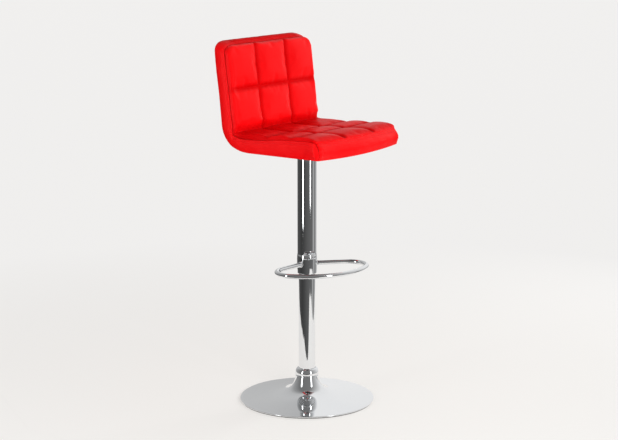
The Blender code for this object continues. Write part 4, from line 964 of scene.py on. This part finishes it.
def makeStitches(name, lines):
    # Short threads that dip into the leather at both ends, along lines of (points, directions
    # square to the leather).
    share = np.linspace(-1, 1, 5)
    angle = ringAngles(stitch["sides"])[:, None]
    lift = (stitch["proud"] - stitch["dip"] * np.abs(share) ** 3)[:, None]
    radius = (stitch["radius"] * np.sqrt(1.02 - share ** 2 * 0.55))[:, None, None]
    one = gridFaces(len(share) + 2, stitch["sides"], False, True)
    size = (len(share) + 2) * stitch["sides"]
    shapes = []
    for points, outs in lines:
        run = lengthAlong(points)
        places = np.arange(stitch["pitch"] / 2, run[-1], stitch["pitch"])
        along = places[:, None] + share[None] * stitch["length"] / 2
        centre, out = (np.stack([np.interp(along, run, values[:, k]) for k in range(3)], -1)
                       for values in (points, outs))
        out = normalized(out)
        ahead = normalized(centre[:, -1:] - centre[:, :1])
        side = np.cross(out, np.broadcast_to(ahead, out.shape))
        centre = (centre + out * lift)[:, :, None]
        rings = centre + radius * (side[:, :, None] * np.cos(angle) + out[:, :, None] * np.sin(angle))
        shut = centre + (rings - centre) * 1e-4    # the end rings, drawn together
        flat = np.concatenate([shut[:, :1], rings, shut[:, -1:]], axis=1).reshape(-1, 3)
        faces = (one[None] + (np.arange(len(places)) * size)[:, None, None]).reshape(-1, 4)
        shapes.append((flat, facesOutward(flat, faces)))
    addPiece(makeMesh(name, *joinShapes(shapes), merge=True), threadRed, "seat", "red_leather")


def bandLine(column, start, end):
    # A line along the band at one of its columns, with the way out of the leather.
    step = np.arange(start, end)
    here = coverPoints[bandIndex[step, column]]
    across = coverPoints[bandIndex[step, column + 1]] - coverPoints[bandIndex[step, column - 1]]
    out = normalized(np.cross(np.gradient(here, axis=0), across))
    return here, out * np.sign((out * (here - coverPoints.mean(0) * [0, 1, 1])).sum())


def cornerLine(step):
    # A line across the band, beside the upright seam at a front corner.
    here = coverPoints[bandIndex[step, 1:-1]]
    beside = coverPoints[bandIndex[step + 1, 1:-1]] - coverPoints[bandIndex[step - 1, 1:-1]]
    out = normalized(np.cross(beside, np.gradient(here, axis=0)))
    return here, out * np.sign((out * [np.sign(here[0, 0]), -1.0, 0]).sum())


def rearLine():
    # Up one side of the back's rear, across its top and down the other side, just inside the seam.
    rows, cols, inset = grids["rows"], grids["cols"], stitch["rearInset"]
    normal = gridNormals(rearGrid, np.array([0.0, 1.0, 0.0]), -20)
    start, top = int(np.searchsorted(grids["length"], grids["middle"])) - 8, rows - 1 - inset
    order = np.array([(j, inset) for j in range(start, top + 1)]
                     + [(top, i) for i in range(inset + 1, cols - 1 - inset)]
                     + [(j, cols - 1 - inset) for j in range(top, start - 1, -1)])
    return rearGrid[order[:, 0], order[:, 1]], normal[order[:, 0], order[:, 1]]


def makeAllStitches():
    loop, corner = len(bandIndex), bandCorners["frontRight"]
    lines = [bandLine(column, 1, corner) for column in band["sewnColumns"]]
    lines += [bandLine(column, corner + 4, loop - 4) for column in band["sewnColumns"]]
    lines += [cornerLine(step) for step in (3, corner - 3, loop - 3, corner + 3)]
    makeStitches("topStitching", lines + [rearLine()])


makeAllStitches()
print("stitching made")

# Underside and lever.

shell = {"gap": 0.0034, "thickness": 0.0110}
dust = {"edge": 0.014, "behind": 0.004, "grid": (61, 81), "lift": 0.00055, "tucks": 0.00022,
        "hem": 0.00020, "thickness": 0.0005}
staples = {"inset": 0.007, "pitch": 0.027, "crown": 0.0105, "wire": 0.00042, "sides": 6,
           "leg": 0.0008, "turn": 7.0, "lift": 0.0002}

# Name: CAD node, finish, body, slot and how round its edges are.
hardware = {
    "seatPlate": ("seat_plate", blackPaint, "seat", "black_steel", 0.0007),
    "leverBracket": ("lever_bracket", blackPaint, "seat", "black_steel", 0.0004),
    "plateHub": ("plate_hub", blackPaint, "seat", "black_steel", 0.0005),
    "leverRod": ("lever_rod", plainSteel, "lever", "steel", 0.0003),
    "leverGrip": ("lever_grip", plastic, "lever", "black_plastic", 0.0010),
    **{"seatScrew%d" % number: ("seat_screw_%d" % number, plainSteel, "seat", "steel", 0.0002)
       for number in range(1, 5)},
}


def makeHardware():
    # A CAD node's shape with its doubles merged, flat faces joined and its edges softened.
    for name, (node, material, body, slot, bevel) in hardware.items():
        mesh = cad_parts[node].data.copy()
        mesh.name = name
        weld(mesh, True)
        soft = addPiece(mesh, material, body, slot, node).modifiers.new("edges", "BEVEL")
        soft.width, soft.segments, soft.harden_normals = bevel, 3, False
        soft.limit_method, soft.angle_limit = "ANGLE", math.radians(35)
        mesh.shade_smooth()
        mesh.set_sharp_from_angle(angle=math.radians(40))


def makeShell():
    # The bent plywood lies inside the cover: the rear face's grid, smaller and moved inwards.
    inner = rearGrid + gridNormals(rearGrid, np.array([0.0, 0.0, 1.0])) * shell["gap"]
    inner = inner[4:-5:3, 4:-4:3]
    faces = gridFaces(*inner.shape[:2])[:, ::-1]
    mesh = makeMesh("plywoodShell", inner.reshape(-1, 3), faces)
    addSkin(addPiece(mesh, plywood, "seat", "plywood", "seat_shell"), shell["thickness"])


def makeStaples(frontLine, half, back, level):
    # Wire staples round the cloth's edge: a crown with a leg bent down at each end.
    inset, wire, sides = staples["inset"], staples["wire"], staples["sides"]
    sideY = np.arange(frontLine(half) + 0.016, back - 0.008, staples["pitch"])
    acrossX = np.arange(-half + 0.018, half - 0.010, staples["pitch"])
    spots = [(sign * (half - inset), y, 90.0) for sign in (-1, 1) for y in sideY]
    spots += [(x, frontLine(abs(x)) + inset, 0.0) for x in acrossX]
    spots += [(x, back - inset, 0.0) for x in acrossX]
    rng = np.random.default_rng(5)
    angle = ringAngles(sides)
    profile = np.array([[-0.5, staples["leg"]], [-0.49, 0.0], [-0.40, -wire * 0.7],
                        [0.40, -wire * 0.7], [0.49, 0.0], [0.5, staples["leg"]]])
    rings = np.zeros((len(profile), sides, 3))
    rings[..., 0] = profile[:, :1] * staples["crown"]
    rings[..., 1] = wire * np.cos(angle)
    rings[..., 2] = profile[:, 1:] + wire * np.sin(angle) * 0.8
    points, faces = closedSweep(rings)
    turn = staples["turn"]
    shapes = [(turnedAbout(points, math.radians(degrees + rng.uniform(-turn, turn))) + [x, y, level],
               faces) for x, y, degrees in spots]
    addPiece(makeMesh("clothStaples", *joinShapes(shapes), merge=True), plainSteel, "seat", "steel")


def makeDustCloth():
    # A flat sheet inside the band's lower edge, with small tucks and a pressed hem line.
    low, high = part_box("dust_cover")
    half, back = high.x - dust["edge"], high.y - dust["behind"]

    def frontLine(x):
        return cushion["cornerY"] + dust["edge"] - cushion["bow"] * (1 - (x / high.x) ** 2)

    rows, cols = dust["grid"]
    u, v = np.meshgrid(np.linspace(-1, 1, cols), np.linspace(0, 1, rows))
    x = u * half
    y = frontLine(x) + (back - frontLine(x)) * v
    toEdge = np.minimum(np.minimum(half - np.abs(x), y - frontLine(x)), back - y)
    tucks = waves(np.random.default_rng(3), [x + y * 0.7], 90, 260, 4)
    z = (low.z + dust["lift"] + dust["tucks"] * tucks * np.exp(-toEdge / 0.030)
         - dust["hem"] * hump(toEdge - 0.006, 0.0012))
    mesh = makeMesh("dustCover", np.stack([x, y, z], -1).reshape(-1, 3),
                    gridFaces(rows, cols)[:, ::-1])
    addSkin(addPiece(mesh, clothBlack, "seat", "dust_cloth", "dust_cover"), dust["thickness"])
    makeStaples(frontLine, half, back, low.z + staples["lift"])


makeShell()
makeHardware()
makeDustCloth()
print("underside made")

# Studio.

studio = {
    "lens": 96.1,
    "eye": (-3.8475, -2.8027, 1.502),
    "look": (78.65, 0, -54),     # the camera's turn about x, y and z
    "camera": 216.2,             # direction from the stool to the camera; other angles count from it
    "paper": (0.40, 0.395, 0.385),
    "glowNear": (0.515, 0.500, 0.484),
    "glowFar": (0.862, 0.852, 0.842),
    "fade": (0.45, 2.3),         # over these distances the glow takes over from the lamps
    # How far the near paper reaches, by angle from the camera's direction to its right.
    "paperReach": [(-175, 2.2), (-140, 1.5), (-100, 1.0), (-70, 0.84), (-38, 0.72), (-22, 0.57),
                   (0, 0.46), (10, 0.46), (19, 0.60), (25, 0.90), (33, 1.35), (60, 1.35), (78, 1.0),
                   (100, 0.95), (130, 1.3), (170, 2.2)],
    "floorReach": [(45, 42), (135, 42), (225, 42), (315, 42)],
    # The room's brightness round the stool, below the horizon and above it.
    "low": [(-180, 0.60), (-160, 0.10), (-70, 0.045), (-40, 0.06), (0, 0.10), (45, 0.13),
            (68, 0.14), (80, 0.40), (96, 0.36), (104, 0.12), (120, 0.36), (180, 0.60)],
    "high": [(-180, 0.48), (-172, 0.56), (-150, 0.52), (-120, 0.34), (-70, 0.19), (-30, 0.18),
             (30, 0.20), (80, 0.48), (130, 0.84), (180, 0.88)],
    "pale": ((0.835, 0.81, 0.78), (0.86, 0.845, 0.85)),   # behind the floor: lower down, and up
    # Angle, distance, height, width, tallness, watts, and whether the chrome shows it.
    "lamps": {"leftStrip": (-49, 2.6, 0.95, 0.40, 1.9, 9, True),
              "rightStrip": (41, 2.6, 1.05, 0.36, 1.9, 9, True),
              "frontSoft": (19, 3.2, 1.16, 1.5, 1.2, 75, False),
              "sideSoft": (-58, 3.0, 0.95, 1.4, 1.2, 19, False),
              "rearSoft": (132, 3.2, 1.3, 1.4, 1.4, 58, False),
              "topSoft": (150, 2.6, 3.0, 2.5, 2.5, 2, False)},
    "aim": 0.75,                 # the height the soft lamps point at
}


def makeCamera(scene):
    camera = bpy.data.cameras.new("camera")
    camera.lens, camera.sensor_width, camera.clip_end = studio["lens"], 36.0, 60.0
    eye = bpy.data.objects.new("camera", camera)
    eye.location = studio["eye"]
    eye.rotation_euler = [math.radians(angle) for angle in studio["look"]]
    scene.collection.objects.link(eye)
    scene.camera = eye


def makeGround(name, reach, height):
    # Pale paper that glows a little, more so far away, so that it stays even to the horizon.
    angle, away = np.array(reach, float).T
    angle = np.radians(studio["camera"] + angle)
    points = np.stack([away * np.cos(angle), away * np.sin(angle), 0 * away + height], -1)
    graph = newMaterial(name, studio["paper"], 0.9, Specular_IOR_Level=0.05)
    darker = tuple(value * 0.985 for value in studio["paper"])
    far = graph.span(graph.length(graph.place), 0.0, 1.0, *studio["fade"])
    near = graph.mix(graph.noise(2.0, 3.0), studio["paper"], darker)
    graph.feed(Base_Color=graph.mix(far, near, (0.0, 0.0, 0.0)), Emission_Strength=1.0,
               Emission_Color=graph.mix(far, studio["glowNear"], studio["glowFar"]))
    mesh = bpy.data.meshes.new(name)
    mesh.from_pydata(points.tolist(), [], [list(range(len(points)))])
    mesh.materials.append(graph.owner)
    piece = bpy.data.objects.new(name, mesh)
    bpy.context.scene.collection.objects.link(piece)
    return piece


def makeRoom(scene):
    # The chrome sees brightness by angle round the stool, and the camera sees plain pale walls.
    scene.world = bpy.data.worlds.new("studio")
    graph = Graph(scene.world, "Background", "Generated")
    turned = graph.add("Mapping", {"Vector": graph.place,
                                   "Rotation": (0, 0, math.radians(-studio["camera"]))})
    radial = graph.add("TexGradient", {"Vector": turned.outputs["Vector"]}, gradient_type="RADIAL")

    def ramp(stops):
        node = graph.add("ValToRGB", {"Fac": radial.outputs["Color"]})
        elements = node.color_ramp.elements
        elements[0].position, elements[1].position = 0, 1
        for element, stop in zip(elements, (stops[0], stops[-1])):
            element.color = (stop[1],) * 3 + (1,)
        for angle, value in stops[1:-1]:
            elements.new((angle + 180) / 360).color = (value,) * 3 + (1,)
        return node.outputs["Color"]

    height = graph.add("SeparateXYZ", {0: graph.place}).outputs["Z"]
    around = graph.mix(graph.span(height, 0.0, 1.0, -0.09, 0.02), ramp(studio["low"]),
                       ramp(studio["high"]))
    pale = graph.mix(graph.span(height, 0.0, 1.0, -0.2, 0.25), *studio["pale"])
    graph.feed(Color=graph.mix(graph.add("LightPath").outputs["Is Camera Ray"], around, pale))


def makeLamps(scene):
    # The strips stand upright, and the soft lamps tip towards the seat.
    for name, (angle, distance, height, width, tall, power, glossy) in studio["lamps"].items():
        data = bpy.data.lights.new(name, "AREA")
        data.shape = "RECTANGLE"
        data.size, data.size_y, data.energy = width, tall, power
        lamp = bpy.data.objects.new(name, data)
        angle = math.radians(studio["camera"] + angle)
        x, y = math.cos(angle) * distance, math.sin(angle) * distance
        tip = math.pi / 2 if glossy else math.atan2(distance, height - studio["aim"])
        lamp.location = (x, y, height)
        lamp.rotation_euler = (tip, 0, math.atan2(y, x) + math.pi / 2)
        lamp.visible_glossy = glossy
        scene.collection.objects.link(lamp)


def makeStudio():
    scene = bpy.context.scene
    scene.view_settings.view_transform = "Standard"
    makeCamera(scene)
    floor = makeGround("floor", studio["floorReach"], -0.0006)
    floor.visible_glossy = floor.visible_diffuse = False
    makeGround("paper", studio["paperReach"], 0.0)
    makeRoom(scene)
    makeLamps(scene)


makeStudio()
print("studio made")
